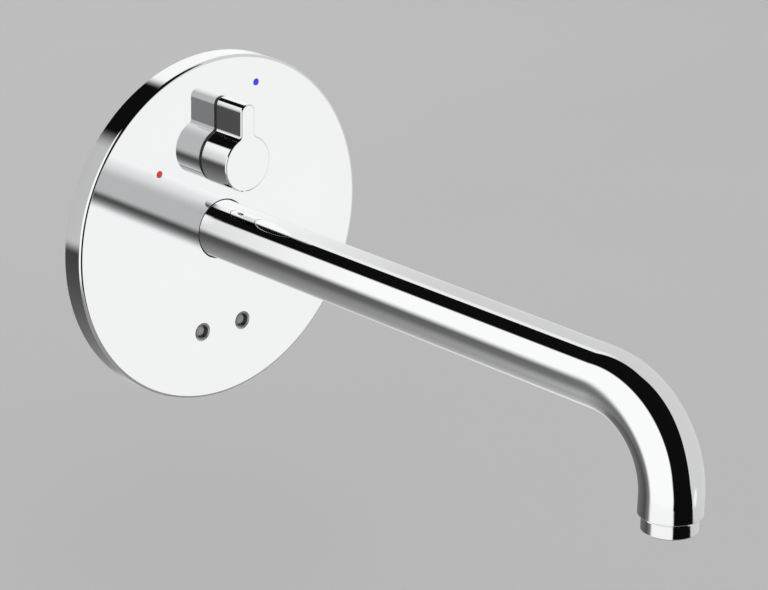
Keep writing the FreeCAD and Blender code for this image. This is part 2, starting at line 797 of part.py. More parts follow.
def make_cartridge():
    """Mixing cartridge: stem and moving disc turn with the knob, the rest is fixed."""
    flange = "cartridge_dia / 2 - cartridge_wall - free_gap"
    plain = "stem_dia / 2"
    seal_at = "body_front + nut_skirt / 2"
    half = "stem_ring_section / 2 + seat_gap"
    groove_floor = "stem_dia / 2 + shaft_fit - stem_ring_section - seat_gap"
    stem = turned("y", [
        (KNOB_BACK + " - stem_insert", "0"),
        (KNOB_BACK + " - stem_insert", plain),
        (f"{seal_at} - ({half})", plain),
        (f"{seal_at} - ({half})", groove_floor),
        (f"{seal_at} + {half}", groove_floor),
        (f"{seal_at} + {half}", plain),
        (DRIVE_FRONT, plain),
        (DRIVE_FRONT, flange),
        (DRIVE_BACK, flange),
        (DRIVE_BACK, "0"),
    ], KNOB_AXIS)
    tab = block(
        ("stop_tab_width", "stop_height", "stop_tab_reach"),
        ("-stop_tab_width / 2", NUT_FRONT + " - stop_height", "knob_axis_height"))
    tongue = block(
        ("tongue_length", "tongue_height", "tongue_width"),
        ("-tongue_length / 2", DRIVE_BACK, "knob_axis_height - tongue_width / 2"))
    node(fused([stem, tab, tongue]), "cartridge_stem")
    node(ring("stem_dia / 2 - stem_ring_section / 2", "stem_ring_section / 2", "y",
              ("0", seal_at, "knob_axis_height")), "stem_sealing_ring")

    slot = block(
        ("tongue_length + 2 * seat_gap", "tongue_height + seat_gap", "tongue_width + 2 * seat_gap"),
        ("-tongue_length / 2 - seat_gap", DRIVE_BACK,
         "knob_axis_height - tongue_width / 2 - seat_gap"))
    disc_at = ("0", DRIVE_BACK, "knob_axis_height")
    node(cut(drum(flange, "disc_height", "y", disc_at), [slot, mixing_recess()]), "moving_disc")
    ports = [port(DISC_FACE, "disc_height", across, "knob_axis_height") for across in PORTS]
    fixed = drum("cartridge_dia / 2 - cartridge_wall - seat_gap", "disc_height", "y",
                 ("0", DISC_FACE, "knob_axis_height"))
    node(cut(fixed, ports), "fixed_disc")

    housing_front = "body_front + nut_skirt"
    housing = turned("y", [
        (housing_front, "cartridge_dia / 2 - cartridge_wall"),
        (housing_front, "cartridge_dia / 2"),
        (SEAL_FRONT, "cartridge_dia / 2"),
        (SEAL_FRONT, "0"),
        (HOUSING_FLOOR, "0"),
        (HOUSING_FLOOR, "cartridge_dia / 2 - cartridge_wall"),
    ], KNOB_AXIS)
    floor_ports = [port(HOUSING_FLOOR, "cartridge_floor", across, "knob_axis_height")
                   for across in PORTS]
    groove = HOUSING_FLOOR + " + cartridge_floor / 3"
    reach = "cartridge_dia / 2"
    floor_ports.append(block(
        ("port_dia", "cartridge_floor", reach),
        ("-port_dia / 2", groove, f"knob_axis_height - {reach}")))
    for start in (f"-port_offset - {reach}", "port_offset"):
        floor_ports.append(block(
            (reach, "cartridge_floor", "port_dia"),
            (start, groove, "knob_axis_height - port_dia / 2")))
    node(cut(housing, floor_ports), "cartridge_housing")
    node(drum("cartridge_dia / 2", "base_seal_height", "y", ("0", SEAL_FRONT, "knob_axis_height")),
         "cartridge_base_seal")

    head = hexagon("cartridge_nut_flats", "nut_head", "y", ("0", NUT_FRONT, "knob_axis_height"))
    skirt = drum("cartridge_dia / 2", "nut_skirt", "y", ("0", "body_front", "knob_axis_height"))
    bore = drum("stem_dia / 2 + shaft_fit", "nut_head + nut_skirt", "y",
                ("0", NUT_FRONT, "knob_axis_height"))
    node(cut(fused([head, skirt]), [bore]), "cartridge_nut")
    stop_at = ("0", NUT_FRONT + " - stop_height", "knob_axis_height")
    stop = drum("stop_dia / 2", "stop_height", "y", stop_at)
    margin = "asin(stop_tab_width / (stem_dia + 2 * free_gap)) / 1° + stop_play"
    window = sector(
        "stop_tab_reach + free_gap", "stop_height", f"hot_angle + {margin}",
        f"hot_angle + cold_angle + 2 * ({margin})", stop_at)
    node(cut(stop, [window, drum("stem_dia / 2 + free_gap", "stop_height", "y", stop_at)]),
         "temperature_stop")


def screw(across, up, seat, sign, length):
    """A socket-head screw along Y whose head bears at the seat, its shank towards sign."""
    head_end = f"{seat} - ({sign}) * screw_head_height"
    shank_end = f"{seat} + ({sign}) * ({length})"
    solid = turned("y", [
        (head_end, "0"),
        (head_end, "screw_head_dia / 2"),
        (seat, "screw_head_dia / 2"),
        (seat, "screw_dia / 2"),
        (shank_end, "screw_dia / 2"),
        (shank_end, "0"),
    ], (across, "0", up))
    low = head_end if sign > 0 else f"{head_end} - socket_depth"
    return cut(solid, [hexagon("screw_socket", "socket_depth", "y", (across, low, up))])


def corners(half_across, half_up, middle="0"):
    """The four corners of a rectangle about the middle plane, as expressions."""
    return [(f"{x}{half_across}", f"{middle} {z} {half_up}") for x in ("-", "") for z in ("-", "+")]


def body_screw_places():
    """Two screws beside the knob and two at the inlets hold the body to the carrier."""
    high = [(side + "lug_screw_span / 2", "knob_axis_height") for side in ("-", "")]
    return high + [(side + "body_screw_span / 2", "-inlet_axis_drop") for side in ("-", "")]


def control_screw_places():
    return [(side + "control_screw_span / 2", CONTROL_MIDDLE) for side in ("-", "")]


def make_carrier():
    """Ribbed carrier on the wall: the cover plate is pushed over the ring in its rim."""
    edge = "plate_dia / 2 - plate_wall - carrier_gap"
    middle = "carrier_thick / 2"
    half = "cover_ring_section / 2 + seat_gap"
    ring_mean = "plate_dia / 2 - plate_wall - free_gap - cover_ring_section / 2"
    groove_floor = ring_mean + " - cover_ring_section / 2 - seat_gap"
    disc = turned("y", [
        ("-carrier_thick", edge + " - carrier_rim"),
        ("-carrier_thick", edge),
        (f"-{middle} - ({half})", edge),
        (f"-{middle} - ({half})", groove_floor),
        (f"-{middle} + {half}", groove_floor),
        (f"-{middle} + {half}", edge),
        ("0", edge),
        ("0", "0"),
        ("-carrier_web", "0"),
        ("-carrier_web", edge + " - carrier_rim"),
    ])
    front = "-carrier_thick"
    parts = [
        disc,
        drum("spout_hub_dia / 2", "carrier_thick", "y", ("0", front, "0")),
        drum("knob_hub_dia / 2", "carrier_thick", "y", ("0", front, "knob_axis_height")),
    ]
    pads = wall_screw_places() + body_screw_places() + control_screw_places() + snout_places()
    for across, up in pads:
        parts.append(drum("pad_dia / 2", "carrier_thick", "y", (across, front, up)))
    for number in range(int(value("rib_count"))):
        rib = block(
            ("rib_width", "carrier_thick - carrier_web", edge + " - carrier_rim / 2"),
            ("0", front, "0"))
        turn = Rotation(Vector(0, 1, 0), 360 * number / value("rib_count"))
        rib.Placement = Placement(Vector(), turn)
        bind(rib, **{
            ".Placement.Base.x": f"-rib_width / 2 * {turn.multVec(Vector(1, 0, 0)).x}",
            ".Placement.Base.y": front,
            ".Placement.Base.z": f"-rib_width / 2 * {turn.multVec(Vector(1, 0, 0)).z}",
        })
        parts.append(rib)
    holes = [
        drum("shank_thread / 2 + 2 * seat_gap", "carrier_thick", "y", ("0", front, "0")),
        drum("knob_hole_dia / 2", "carrier_thick", "y", ("0", front, "knob_axis_height")),
    ]
    for across, up in wall_screw_places():
        holes.append(drum("wall_screw_hole / 2", "carrier_thick", "y", (across, front, up)))
    for across, up in snout_places():
        holes.append(drum("snout_dia / 2 + 2 * seat_gap", "carrier_thick", "y", (across, front, up)))
    for across, up in body_screw_places() + control_screw_places():
        holes.append(drum("screw_dia / 2 + seat_gap", "carrier_thick", "y", (across, front, up)))
        holes.append(
            drum("screw_head_dia / 2 + free_gap", "screw_head_height", "y", (across, front, up)))
    node(cut(fused(parts), holes), "mounting_carrier")
    node(ring(ring_mean, "cover_ring_section / 2", "y", ("0", f"-{middle}", "0")), "cover_ring")
    seat = "screw_head_height - carrier_thick"
    node(together([screw(across, up, seat, 1, "screw_length")
                   for across, up in body_screw_places()]), "body_screws")
    node(together([screw(across, up, seat, 1, "control_screw_length")
                   for across, up in control_screw_places()]), "control_screws")


def wall_screw_places():
    """Four holes on one circle, at the diagonals."""
    out = "(plate_dia / 2 - wall_screw_inset) * cos(45)"
    return corners(out, out)


def snout_places():
    return [(side + "sensor_spacing / 2", "-sensor_drop") for side in ("-", "")]


def side_drum(sign, radius, inner, outer):
    """A cylinder of the inlet arms, from inner to outer measured out from the middle."""
    low = f"-({outer})" if sign < 0 else inner
    return drum(radius, f"{outer} - ({inner})", "x", (low, "inlet_axis_depth", "-inlet_axis_drop"))


CHECK_OUTER = "inlet_span / 2 - inlet_thread_length"
CHECK_HEAD = CHECK_OUTER + " - strainer_height"
CHECK_END = CHECK_HEAD + " - check_length"
CONTROL_MIDDLE = "control_height / 2 - control_low"


def make_mixing_body():
    """Brass body: cartridge pocket above, pilot valve seat and spout port below, inlets beside."""
    upper_at = ("0", "body_front", "knob_axis_height")
    lower_at = ("0", "body_front", "0")
    flange_front = MEMBRANE_BACK + " - lug_depth"
    parts = [
        drum(POCKET_RADIUS + " + body_wall", "body_back - body_front", "y", upper_at),
        drum("chamber_dia / 2 + body_wall", MEMBRANE_BACK + " - body_front", "y", lower_at),
        slab("bonnet_side", "bonnet_side", "lug_depth", "bonnet_round",
             ("0", MEMBRANE_BACK, "0"))[0],
        block(("2 * body_wall + channel_dia", "seat_plane - body_front", "knob_axis_height"),
              ("-body_wall - channel_dia / 2", "body_front", "0")),
        block(("body_screw_span", "inlet_axis_depth - body_front", "lug_height"),
              ("-body_screw_span / 2", "body_front", "-inlet_axis_drop - lug_height / 2")),
        block(("lug_screw_span", "lug_depth", "lug_height"),
              ("-lug_screw_span / 2", "body_front", "knob_axis_height - lug_height / 2")),
        drum("port_dia / 2 + body_wall", "riser_span", "x",
             ("-riser_span / 2", POCKET_FLOOR + " - port_dia / 2", "knob_axis_height")),
    ]
    for side, sign in (("-", -1), ("", 1)):
        parts += [
            side_drum(sign, "inlet_arm_dia / 2", "riser_span / 2 - riser_dia / 2 - body_wall",
                      "inlet_span / 2"),
            drum("pillar_dia / 2", "inlet_axis_depth", "y",
                 (side + "body_screw_span / 2", "0", "-inlet_axis_drop")),
            drum("pillar_dia / 2", "body_front + lug_depth", "y",
                 (side + "lug_screw_span / 2", "0", "knob_axis_height")),
            riser("riser_dia / 2 + body_wall", side, "body_wall"),
        ]
    seat_tube = drum("seat_bore / 2 + seat_wall", "seat_plane - chamber_front", "y",
                     ("0", "chamber_front", "0"))
    chamber = drum("chamber_dia / 2", MEMBRANE_BACK + " - chamber_front", "y",
                   ("0", "chamber_front", "0"))
    low_end = "chamber_dia / 2 - seat_wall"
    high_end = "knob_axis_height - (" + POCKET_RADIUS + ") + body_wall / 2"
    pockets = [
        drum(POCKET_RADIUS, "pocket_depth", "y", upper_at),
        drum(PORT_RADIUS, "shank_engagement + free_gap", "y", lower_at),
        drum("seat_bore / 2", MEMBRANE_BACK + " - body_front", "y", lower_at),
        cut(chamber, [seat_tube]),
        drum("membrane_dia / 2 + seat_gap", "membrane_height", "y", ("0", "seat_plane", "0")),
    ]
    channels = [
        drum("mixed_channel / 2", f"{high_end} - ({low_end})", "z",
             ("0", "chamber_front + mixed_channel / 2 + seat_gap", low_end)),
    ]
    for side, sign in (("-", -1), ("", 1)):
        pocket_side = "-riser_span / 2" if sign < 0 else POCKET_RADIUS + " - body_wall"
        pockets += [
            side_drum(sign, "inlet_thread / 2", CHECK_OUTER, "inlet_span / 2"),
            side_drum(sign, "check_bore / 2", CHECK_END, CHECK_OUTER),
        ]
        channels += [
            side_drum(sign, "channel_dia / 2", "riser_span / 2", CHECK_OUTER),
            riser("riser_dia / 2", side, "0"),
            drum("port_dia / 2", "riser_span / 2 - (" + POCKET_RADIUS + ") + body_wall", "x",
                 (pocket_side, POCKET_FLOOR + " - port_dia / 2", "knob_axis_height")),
        ]
    screw_holes = [
        drum("screw_dia / 2 + shaft_fit", "screw_length - screw_head_height", "y", (across, "0", up))
        for across, up in body_screw_places()
    ]
    for across, up in corners("bonnet_screw_span / 2", "bonnet_screw_span / 2"):
        screw_holes.append(
            drum("screw_dia / 2 + shaft_fit", "lug_depth", "y", (across, flange_front, up)))
    # joining the union's faces would spoil it where the risers run into a pocket's wall
    hollow = cut(cut(fused(parts, refine=False), pockets), channels)
    node(cut(hollow, screw_holes), "mixing_body")


def riser(radius, side, extra):
    """Upright drum from an inlet's axis up to the knob's, for the channel or the wall round it."""
    return drum(radius, f"knob_axis_height + inlet_axis_drop + {extra}", "z",
                (side + "riser_span / 2", "inlet_axis_depth", "-inlet_axis_drop"))


def check_outline(sign, points):
    """Half section along the inlet arm, measured out from the middle and mirrored by side."""
    return [(f"{sign} * ({along})", radius) for along, radius in points]


def make_check_valves():
    """In each inlet: a strainer, and a sprung poppet in its guide that shuts against backflow."""
    for name, sign in SIDES.items():
        at = ("0", "inlet_axis_depth", "-inlet_axis_drop")
        outside = "check_bore / 2 - seat_gap"
        mesh = side_drum(sign, outside, CHECK_HEAD, CHECK_OUTER)
        node(cut(mesh, strainer_holes(sign)), f"{name}_strainer")
        seat = CHECK_HEAD + " - check_seat"
        guide = turned("x", check_outline(sign, [
            (CHECK_HEAD, "check_seat_bore / 2"),
            (CHECK_HEAD, outside),
            (CHECK_END, outside),
            (CHECK_END, "poppet_stem_dia / 2 + shaft_fit"),
            (CHECK_END + " + spider_height", "poppet_stem_dia / 2 + shaft_fit"),
            (CHECK_END + " + spider_height", outside + " - check_wall"),
            (seat, outside + " - check_wall"),
            (seat, "check_seat_bore / 2"),
        ]), at)
        node(cut(guide, spider_windows(sign)), f"{name}_check_guide")
        back = seat + " - poppet_height"
        boss = "(check_spring_dia - check_spring_wire) / 2 - free_gap"
        node(turned("x", check_outline(sign, [
            (seat + " + check_seat / 2", "0"),
            (seat + " + check_seat / 2", "check_seat_bore / 4"),
            (seat, "check_seat_bore / 2 - free_gap"),
            (seat, "poppet_dia / 2"),
            (back, "poppet_dia / 2"),
            (back, boss),
            (CHECK_END + " + spider_height + poppet_travel + free_gap", boss),
            (CHECK_END + " + spider_height + poppet_travel + free_gap", "poppet_stem_dia / 2"),
            (CHECK_END, "poppet_stem_dia / 2"),
            (CHECK_END, "0"),
        ]), at), f"{name}_check_poppet")
        start = value(CHECK_END + " + spider_height")
        coil = spring_shape(
            value("check_spring_dia / 2"), value("check_spring_wire / 2"),
            int(value("check_spring_turns")), value(back) - start)
        place = Vector(sign * start, value("inlet_axis_depth"), -value("inlet_axis_drop"))
        add_shape(f"{name}_check_spring", coil,
                  Placement(place, Rotation(Vector(0, 1, 0), 90 * sign)))


def strainer_holes(sign):
    """Holes of the inlet strainer, on a hexagonal pattern."""
    low = f"-({CHECK_OUTER})" if sign < 0 else CHECK_HEAD
    return [
        drum("strainer_hole / 2", "strainer_height", "x", (
            low,
            f"inlet_axis_depth + strainer_pitch * ({i} + {j} / 2)",
            f"strainer_pitch * {j} * cos(30) - inlet_axis_drop"))
        for i, j in hex_places("strainer_rings")
    ]


def spider_windows(sign):
    """Four round windows past the poppet's stem."""
    low = f"-({CHECK_END} + spider_height)" if sign < 0 else CHECK_END
    middle = "(check_bore / 2 - check_wall + poppet_stem_dia / 2) / 2"
    return [
        drum("spider_window / 2", "spider_height", "x", (
            low,
            f"inlet_axis_depth + ({middle}) * cos({90 * number})",
            f"({middle}) * sin({90 * number}) - inlet_axis_drop"))
        for number in range(4)
    ]


def joining_arcs(start, start_way, end, end_way):
    """Two tangent arcs from one point to another that leave and arrive in given directions."""
    span = end - start
    ways = start_way + end_way
    bend = 2 * (1 - start_way.dot(end_way))
    reach = (-span.dot(ways) + math.sqrt(span.dot(ways) ** 2 + bend * span.dot(span))) / bend
    middle = (start + start_way * reach + end - end_way * reach) * 0.5
    return [
        tangent_arc(start, start + start_way * reach, middle),
        tangent_arc(middle, end - end_way * reach, end),
    ]


def tangent_arc(start, corner, end):
    """The arc from start to end that touches both lines to the corner between them."""
    chord = (start + end) * 0.5
    cosine = (end - start).Length / 2 / (corner - start).Length
    top = chord + (corner - chord) * (cosine / (1 + cosine))
    return Part.Arc(start, top, end).toShape()


def spring_shape(radius, wire, turns, length):
    """A round wire wound on a helix along +Z that fills a length between two flat seats."""
    steps = 4 * turns
    seat = SEAT_RADII * wire
    rise = (length - 2 * seat) / steps

    def place(step):
        angle = step * math.pi / 2
        return Vector(radius * math.cos(angle), radius * math.sin(angle), seat + rise * step)

    def way(step):
        angle = step * math.pi / 2
        tangent = Vector(-radius * math.sin(angle), radius * math.cos(angle), rise / (math.pi / 2))
        return tangent.normalize()

    edges = []
    for step in range(steps):
        edges += joining_arcs(place(step), way(step), place(step + 1), way(step + 1))
    section = Part.Wire([Part.Circle(place(0), way(0), wire).toShape()])
    print("spring: least gap to itself", round(self_gap(edges, steps // turns, wire), 2), "mm")
    return Part.Wire(edges).makePipeShell([section], True, False)


def self_gap(edges, steps_in_turn, wire):
    """Least clear distance between points of a coiled wire that lie over half a turn apart."""
    points = [point for edge in edges for point in edge.discretize(GAP_POINTS)[:-1]]
    apart = steps_in_turn * (GAP_POINTS - 1)
    least = min(
        first.distanceToPoint(second)
        for number, first in enumerate(points)
        for second in points[number + apart:])
    return least - 2 * wire


def add_shape(label, shape, placement=Placement()):
    """A piece whose shape is worked out here, because no feature makes it."""
    feature = doc.addObject("Part::Feature", "Shaped")
    feature.Shape = shape
    feature.Placement = placement
    node(feature, label)


def make_pilot_valve():
    """Solenoid valve behind the spout: its plunger opens the pilot hole of a membrane valve."""
    membrane = drum("membrane_dia / 2", "membrane_height", "y", ("0", "seat_plane", "0"))
    opening = drum("core_hole / 2 + shaft_fit", "membrane_height", "y", ("0", "seat_plane", "0"))
    node(cut(membrane, [opening]), "valve_membrane")
    node(turned("y", [
        ("seat_plane - core_nose", "pilot_hole / 2"),
        ("seat_plane - core_nose", "core_hole / 2"),
        (MEMBRANE_BACK, "core_hole / 2"),
        (MEMBRANE_BACK, "core_flange / 2"),
        (CORE_BACK, "core_flange / 2"),
        (CORE_BACK, "pilot_hole / 2"),
    ]), "membrane_core")

    guide_bore = "guide_dia / 2 - guide_wall"
    cap_end = GUIDE_STOP + " + guide_cap"
    plate, _ = slab("bonnet_side", "bonnet_side", f"{BONNET_BACK} - ({MEMBRANE_BACK})",
                    "bonnet_round", ("0", BONNET_BACK, "0"))
    guide = drum("guide_dia / 2", f"{cap_end} - ({MEMBRANE_BACK})", "y", ("0", MEMBRANE_BACK, "0"))
    hollows = [
        drum("core_flange / 2 + free_gap", f"{BONNET_ROOM} - ({MEMBRANE_BACK})", "y",
             ("0", MEMBRANE_BACK, "0")),
        drum(guide_bore, f"{GUIDE_STOP} - ({MEMBRANE_BACK})", "y", ("0", MEMBRANE_BACK, "0")),
    ]
    for across, up in corners("bonnet_screw_span / 2", "bonnet_screw_span / 2"):
        hollows.append(drum("screw_dia / 2 + seat_gap", f"{BONNET_BACK} - ({MEMBRANE_BACK})", "y",
                            (across, MEMBRANE_BACK, up)))
    node(cut(fused([plate, guide]), hollows), "valve_bonnet")
    node(together([
        screw(across, up, BONNET_BACK, -1, f"{BONNET_BACK} - ({MEMBRANE_BACK}) + lug_depth")
        for across, up in corners("bonnet_screw_span / 2", "bonnet_screw_span / 2")
    ]), "bonnet_screws")

    plunger_back = CORE_BACK + " + plunger_length"
    room_front = plunger_back + " - plunger_spring_room"
    room = "plunger_spring_dia / 2 + plunger_spring_wire / 2 + free_gap"
    node(turned("y", [
        (CORE_BACK, "0"),
        (CORE_BACK, "pilot_hole"),
        (CORE_BACK + " + seat_wall", guide_bore + " - shaft_fit"),
        (plunger_back, guide_bore + " - shaft_fit"),
        (plunger_back, room),
        (room_front, room),
        (room_front, "0"),
    ]), "plunger")
    coil = spring_shape(
        value("plunger_spring_dia / 2"), value("plunger_spring_wire / 2"),
        int(value("plunger_spring_turns")), value(f"{GUIDE_STOP} - ({room_front})"))
    add_shape("plunger_spring", coil, Placement(Vector(0, value(room_front), 0), ALONG["y"]))

    coil_front = BONNET_BACK + " + yoke_sheet"
    coil_back = coil_front + " + coil_length"
    bobbin = drum("coil_dia / 2", "coil_length", "y", ("0", coil_front, "0"))
    plug = block(("plug_width", "plug_depth", "coil_dia / 2 + plug_height"),
                 ("-plug_width / 2", coil_front + " + (coil_length - plug_depth) / 2",
                  "-coil_dia / 2 - plug_height"))
    passage = drum("guide_dia / 2 + seat_gap", "coil_length", "y", ("0", coil_front, "0"))
    node(cut(fused([bobbin, plug]), [passage]), "solenoid_coil")
    half = "coil_dia / 2 + seat_gap"
    sheets = [
        block(("yoke_width", "yoke_sheet", f"2 * ({half})"),
              ("-yoke_width / 2", start, f"-({half})"))
        for start in (BONNET_BACK, coil_back)
    ]
    sheets.append(block(("yoke_width", "coil_length + 2 * yoke_sheet", "yoke_sheet"),
                        ("-yoke_width / 2", BONNET_BACK, half)))
    through = drum("guide_dia / 2 + seat_gap", "coil_length + 2 * yoke_sheet", "y",
                   ("0", BONNET_BACK, "0"))
    node(cut(fused(sheets), [through]), "solenoid_yoke")
    node(turned("y", sleeve("guide_dia / 2 + shaft_fit", "guide_dia / 2 + clip_width",
                            coil_back + " + yoke_sheet",
                            coil_back + " + yoke_sheet + clip_height")), "coil_clip")


SNOUT_FRONT = PLATE_BACK + " + bezel_flange"
BOARD_FRONT = "control_wall + board_gap"
LID_BACK = "control_depth + lid_height"


def make_sensors():
    """Behind each window of the plate: a bezel, a lens, and the emitter or the receiver."""
    for name, eye, side in (("left", "sensor_emitter", "-"), ("right", "sensor_receiver", "")):
        at = (side + "sensor_spacing / 2", "0", "-sensor_drop")
        outside = "sensor_hole / 2 - shaft_fit"
        inside = outside + " - bezel_wall"
        flange = outside + " + bezel_flange_width"
        node(turned("y", [
            ("seat_gap - plate_depth", inside),
            ("seat_gap - plate_depth", outside),
            (PLATE_BACK, outside),
            (PLATE_BACK, flange),
            (SNOUT_FRONT, flange),
            (SNOUT_FRONT, inside),
        ], at), f"{name}_sensor_bezel")
        lens_front = "window_recess - plate_depth"
        node(drum(inside + " - shaft_fit", f"{SNOUT_FRONT} - ({lens_front})", "y",
                  (at[0], lens_front, at[2])), f"{name}_sensor_lens")
        eye_front = SNOUT_FRONT + " + free_gap"
        legs = [
            drum("eye_leg / 2", f"{BOARD_FRONT} - ({eye_front}) - eye_length", "y",
                 (f"{at[0]} + {way} * eye_leg_pitch / 2", eye_front + " + eye_length", at[2]))
            for way in (-1, 1)
        ]
        can = drum("eye_dia / 2", "eye_length", "y", (at[0], eye_front, at[2]))
        node(fused([can] + legs), eye)


def make_control_unit():
    """Splash-proof box behind the carrier with the sensors' snouts, the board and the battery."""
    outer, _ = slab("control_width", "control_height", "control_depth", "control_round",
                    ("0", "control_depth", CONTROL_MIDDLE))
    inner, _ = slab("control_width - 2 * control_wall", "control_height - 2 * control_wall",
                    "control_depth - control_wall", "control_round - control_wall",
                    ("0", "control_depth", CONTROL_MIDDLE))
    parts = [cut(outer, [inner])]
    posts = corners("(control_width / 2 - control_wall - post_dia / 2)",
                    "(control_height / 2 - control_wall - post_dia / 2)", CONTROL_MIDDLE)
    for across, up in posts:
        parts.append(drum("post_dia / 2 + seat_gap", "control_depth - control_wall", "y",
                          (across, "control_wall", up)))
    for across, up in control_screw_places():
        parts.append(drum("post_dia / 2", "control_screw_length", "y", (across, "0", up)))
    for across, up in board_posts():
        parts.append(drum("board_post / 2", "board_gap", "y", (across, "control_wall", up)))
    for across, up in snout_places():
        parts.append(drum("snout_dia / 2", f"control_wall - ({SNOUT_FRONT})", "y",
                          (across, SNOUT_FRONT, up)))
    holes = []
    for across, up in snout_places():
        holes.append(drum("eye_dia / 2 + 2 * seat_gap", f"control_wall - ({SNOUT_FRONT})", "y",
                          (across, SNOUT_FRONT, up)))
    for across, up in control_screw_places():
        holes.append(drum("screw_dia / 2 + shaft_fit", "control_screw_length - control_wall", "y",
                          (across, "0", up)))
    for across, up in posts:
        holes.append(drum("screw_dia / 2 + shaft_fit", "lid_screw_length", "y",
                          (across, "control_depth - lid_screw_length", up)))
    node(cut(fused(parts), holes), "control_housing")

    lid, cornered = slab("control_width", "control_height", "lid_height", "control_round",
                         ("0", LID_BACK, CONTROL_MIDDLE))
    dressed(lid, "PartDesign::Fillet", cornered,
            lambda edge: all(near(vertex.Point.y, 0) for vertex in edge.Vertexes), "lid_edge_round")
    lid_holes = [drum("screw_dia / 2 + seat_gap", "lid_height", "y", (across, "control_depth", up))
                 for across, up in posts]
    lid_holes.append(
        drum("gland_dia / 2", "lid_height", "y", ("lead_across", "control_depth", "-lead_drop")))
    node(cut(lid, lid_holes), "control_lid")
    node(together([screw(across, up, LID_BACK, -1, "lid_height + lid_screw_length - free_gap")
                   for across, up in posts]), "lid_screws")
    board, _ = slab("board_width", "board_tall", "board_height", "board_round",
                    ("0", BOARD_FRONT + " + board_height", CONTROL_MIDDLE))
    node(board, "circuit_board")
    battery = new_body()
    section = sketch_on(battery, "XY_Plane", "Section")
    closed_outline(section, rectangle("battery_width", "battery_depth"))
    cells = pad(battery, section, "battery_height")
    dressed(battery, "PartDesign::Fillet", cells, runs_along(Vector(0, 0, 1)), "battery_round")
    battery_front = BOARD_FRONT + " + board_height + free_gap"
    node(moved(battery, ("0", battery_front + " + battery_depth / 2",
                         f"{CONTROL_MIDDLE} - battery_height / 2")), "battery_pack")
    gland_at = ("lead_across", "0", "-lead_drop")
    bore = "lead_dia / 2 + seat_gap"
    node(turned("y", [
        ("control_depth", bore),
        ("control_depth", "gland_dia / 2 - seat_gap"),
        (LID_BACK, "gland_dia / 2 - seat_gap"),
        (LID_BACK, "gland_dia / 2 + gland_flange"),
        (LID_BACK + " + gland_flange", "gland_dia / 2 + gland_flange"),
        (LID_BACK + " + gland_length", "lead_dia"),
        (LID_BACK + " + gland_length", bore),
    ], gland_at), "lead_gland")


def board_posts():
    """Four short posts in the housing that the circuit board stands on."""
    return corners("(board_width / 2 - board_post)", "(board_tall / 2 - board_post)", CONTROL_MIDDLE)


def make_valve_lead():
    """Lead from the coil's plug, down behind the body and through the gland to the board."""
    plug_low = value("-coil_dia / 2 - plug_height")
    plug_at = value(BONNET_BACK + " + yoke_sheet + coil_length / 2")
    across = value("lead_across")
    drop = -value("lead_drop")
    board_back = value(BOARD_FRONT + " + board_height")
    gland_back = value(LID_BACK + " + gland_length")
    points = [
        Vector(0, plug_at, plug_low),
        Vector(0, plug_at, plug_low - 9.5),
        Vector(7, plug_at + 4, plug_low - 21.5),
        Vector(across - 4, plug_at + 5, drop + 7),
        Vector(across, gland_back + 7, drop),
        Vector(across, board_back, drop),
    ]
    edges = []
    here = points[0]
    for before, corner, after in zip(points, points[1:], points[2:]):
        arriving = corner - before
        leaving = after - corner
        shorter = min(arriving.Length, leaving.Length)
        start = corner - arriving.normalize() * (BEND_SHARE * shorter)
        end = corner + leaving.normalize() * (BEND_SHARE * shorter)
        edges.append(Part.LineSegment(here, start).toShape())
        edges.append(tangent_arc(start, corner, end))
        half_turn = arriving.getAngle(leaving) / 2
        print("lead: bend radius", round(BEND_SHARE * shorter / math.tan(half_turn), 1), "mm")
        here = end
    edges.append(Part.LineSegment(here, points[-1]).toShape())
    first_way = (points[1] - points[0]).normalize()
    section = Part.Wire([Part.Circle(points[0], first_way, value("lead_dia / 2")).toShape()])
    path = Part.Wire(edges)
    lead = path.makePipeShell([section], True, False)
    expected = path.Length * math.pi * value("lead_dia / 2") ** 2
    print("lead: length", round(path.Length, 1), "mm, volume", round(lead.Volume / expected, 4),
          "of section times length")
    add_shape("valve_lead", lead)


def failures():
    """Every object that did not recompute, and every piece that is no valid solid."""
    found = []
    for thing in doc.Objects:
        if "Invalid" in thing.State or "Error" in thing.State:
            found.append(f"{thing.Name} ({thing.Label}): {thing.State}")
    for label, thing in nodes.items():
        shape = thing.Shape
        if shape.isNull() or not shape.isValid() or not shape.Solids:
            found.append(f"{label}: no valid solid")
    return found


def write_parts():
    os.makedirs("parts", exist_ok=True)
    for label, thing in nodes.items():
        thing.Shape.exportStep(f"parts/{label}.step")
    print(len(nodes), "pieces written")


def main():
    fill_sheet()
    make_cover_plate()
    make_dots()
    make_spout()
    make_spout_base()
    make_outlet()
    make_knob()
    make_cartridge()
    make_carrier()
    make_mixing_body()
    make_check_valves()
    make_pilot_valve()
    make_sensors()
    make_control_unit()
    make_valve_lead()
    doc.recompute()
    problems = failures()
    if problems:
        raise RuntimeError("\n".join(problems))
    write_parts()


main()
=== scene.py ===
# Looks of the touchless basin mixer: polished surfaces, finishes, studio and camera.
#
# Frame: +Z up, -Y towards the user, the origin at the centre of the cover plate in the
# wall's surface. Sizes here are millimetres, and meshes are made in metres.

import json
import math

import bmesh
import bpy
import numpy as np
from mathutils import Matrix, Vector
from mathutils.geometry import delaunay_2d_cdt


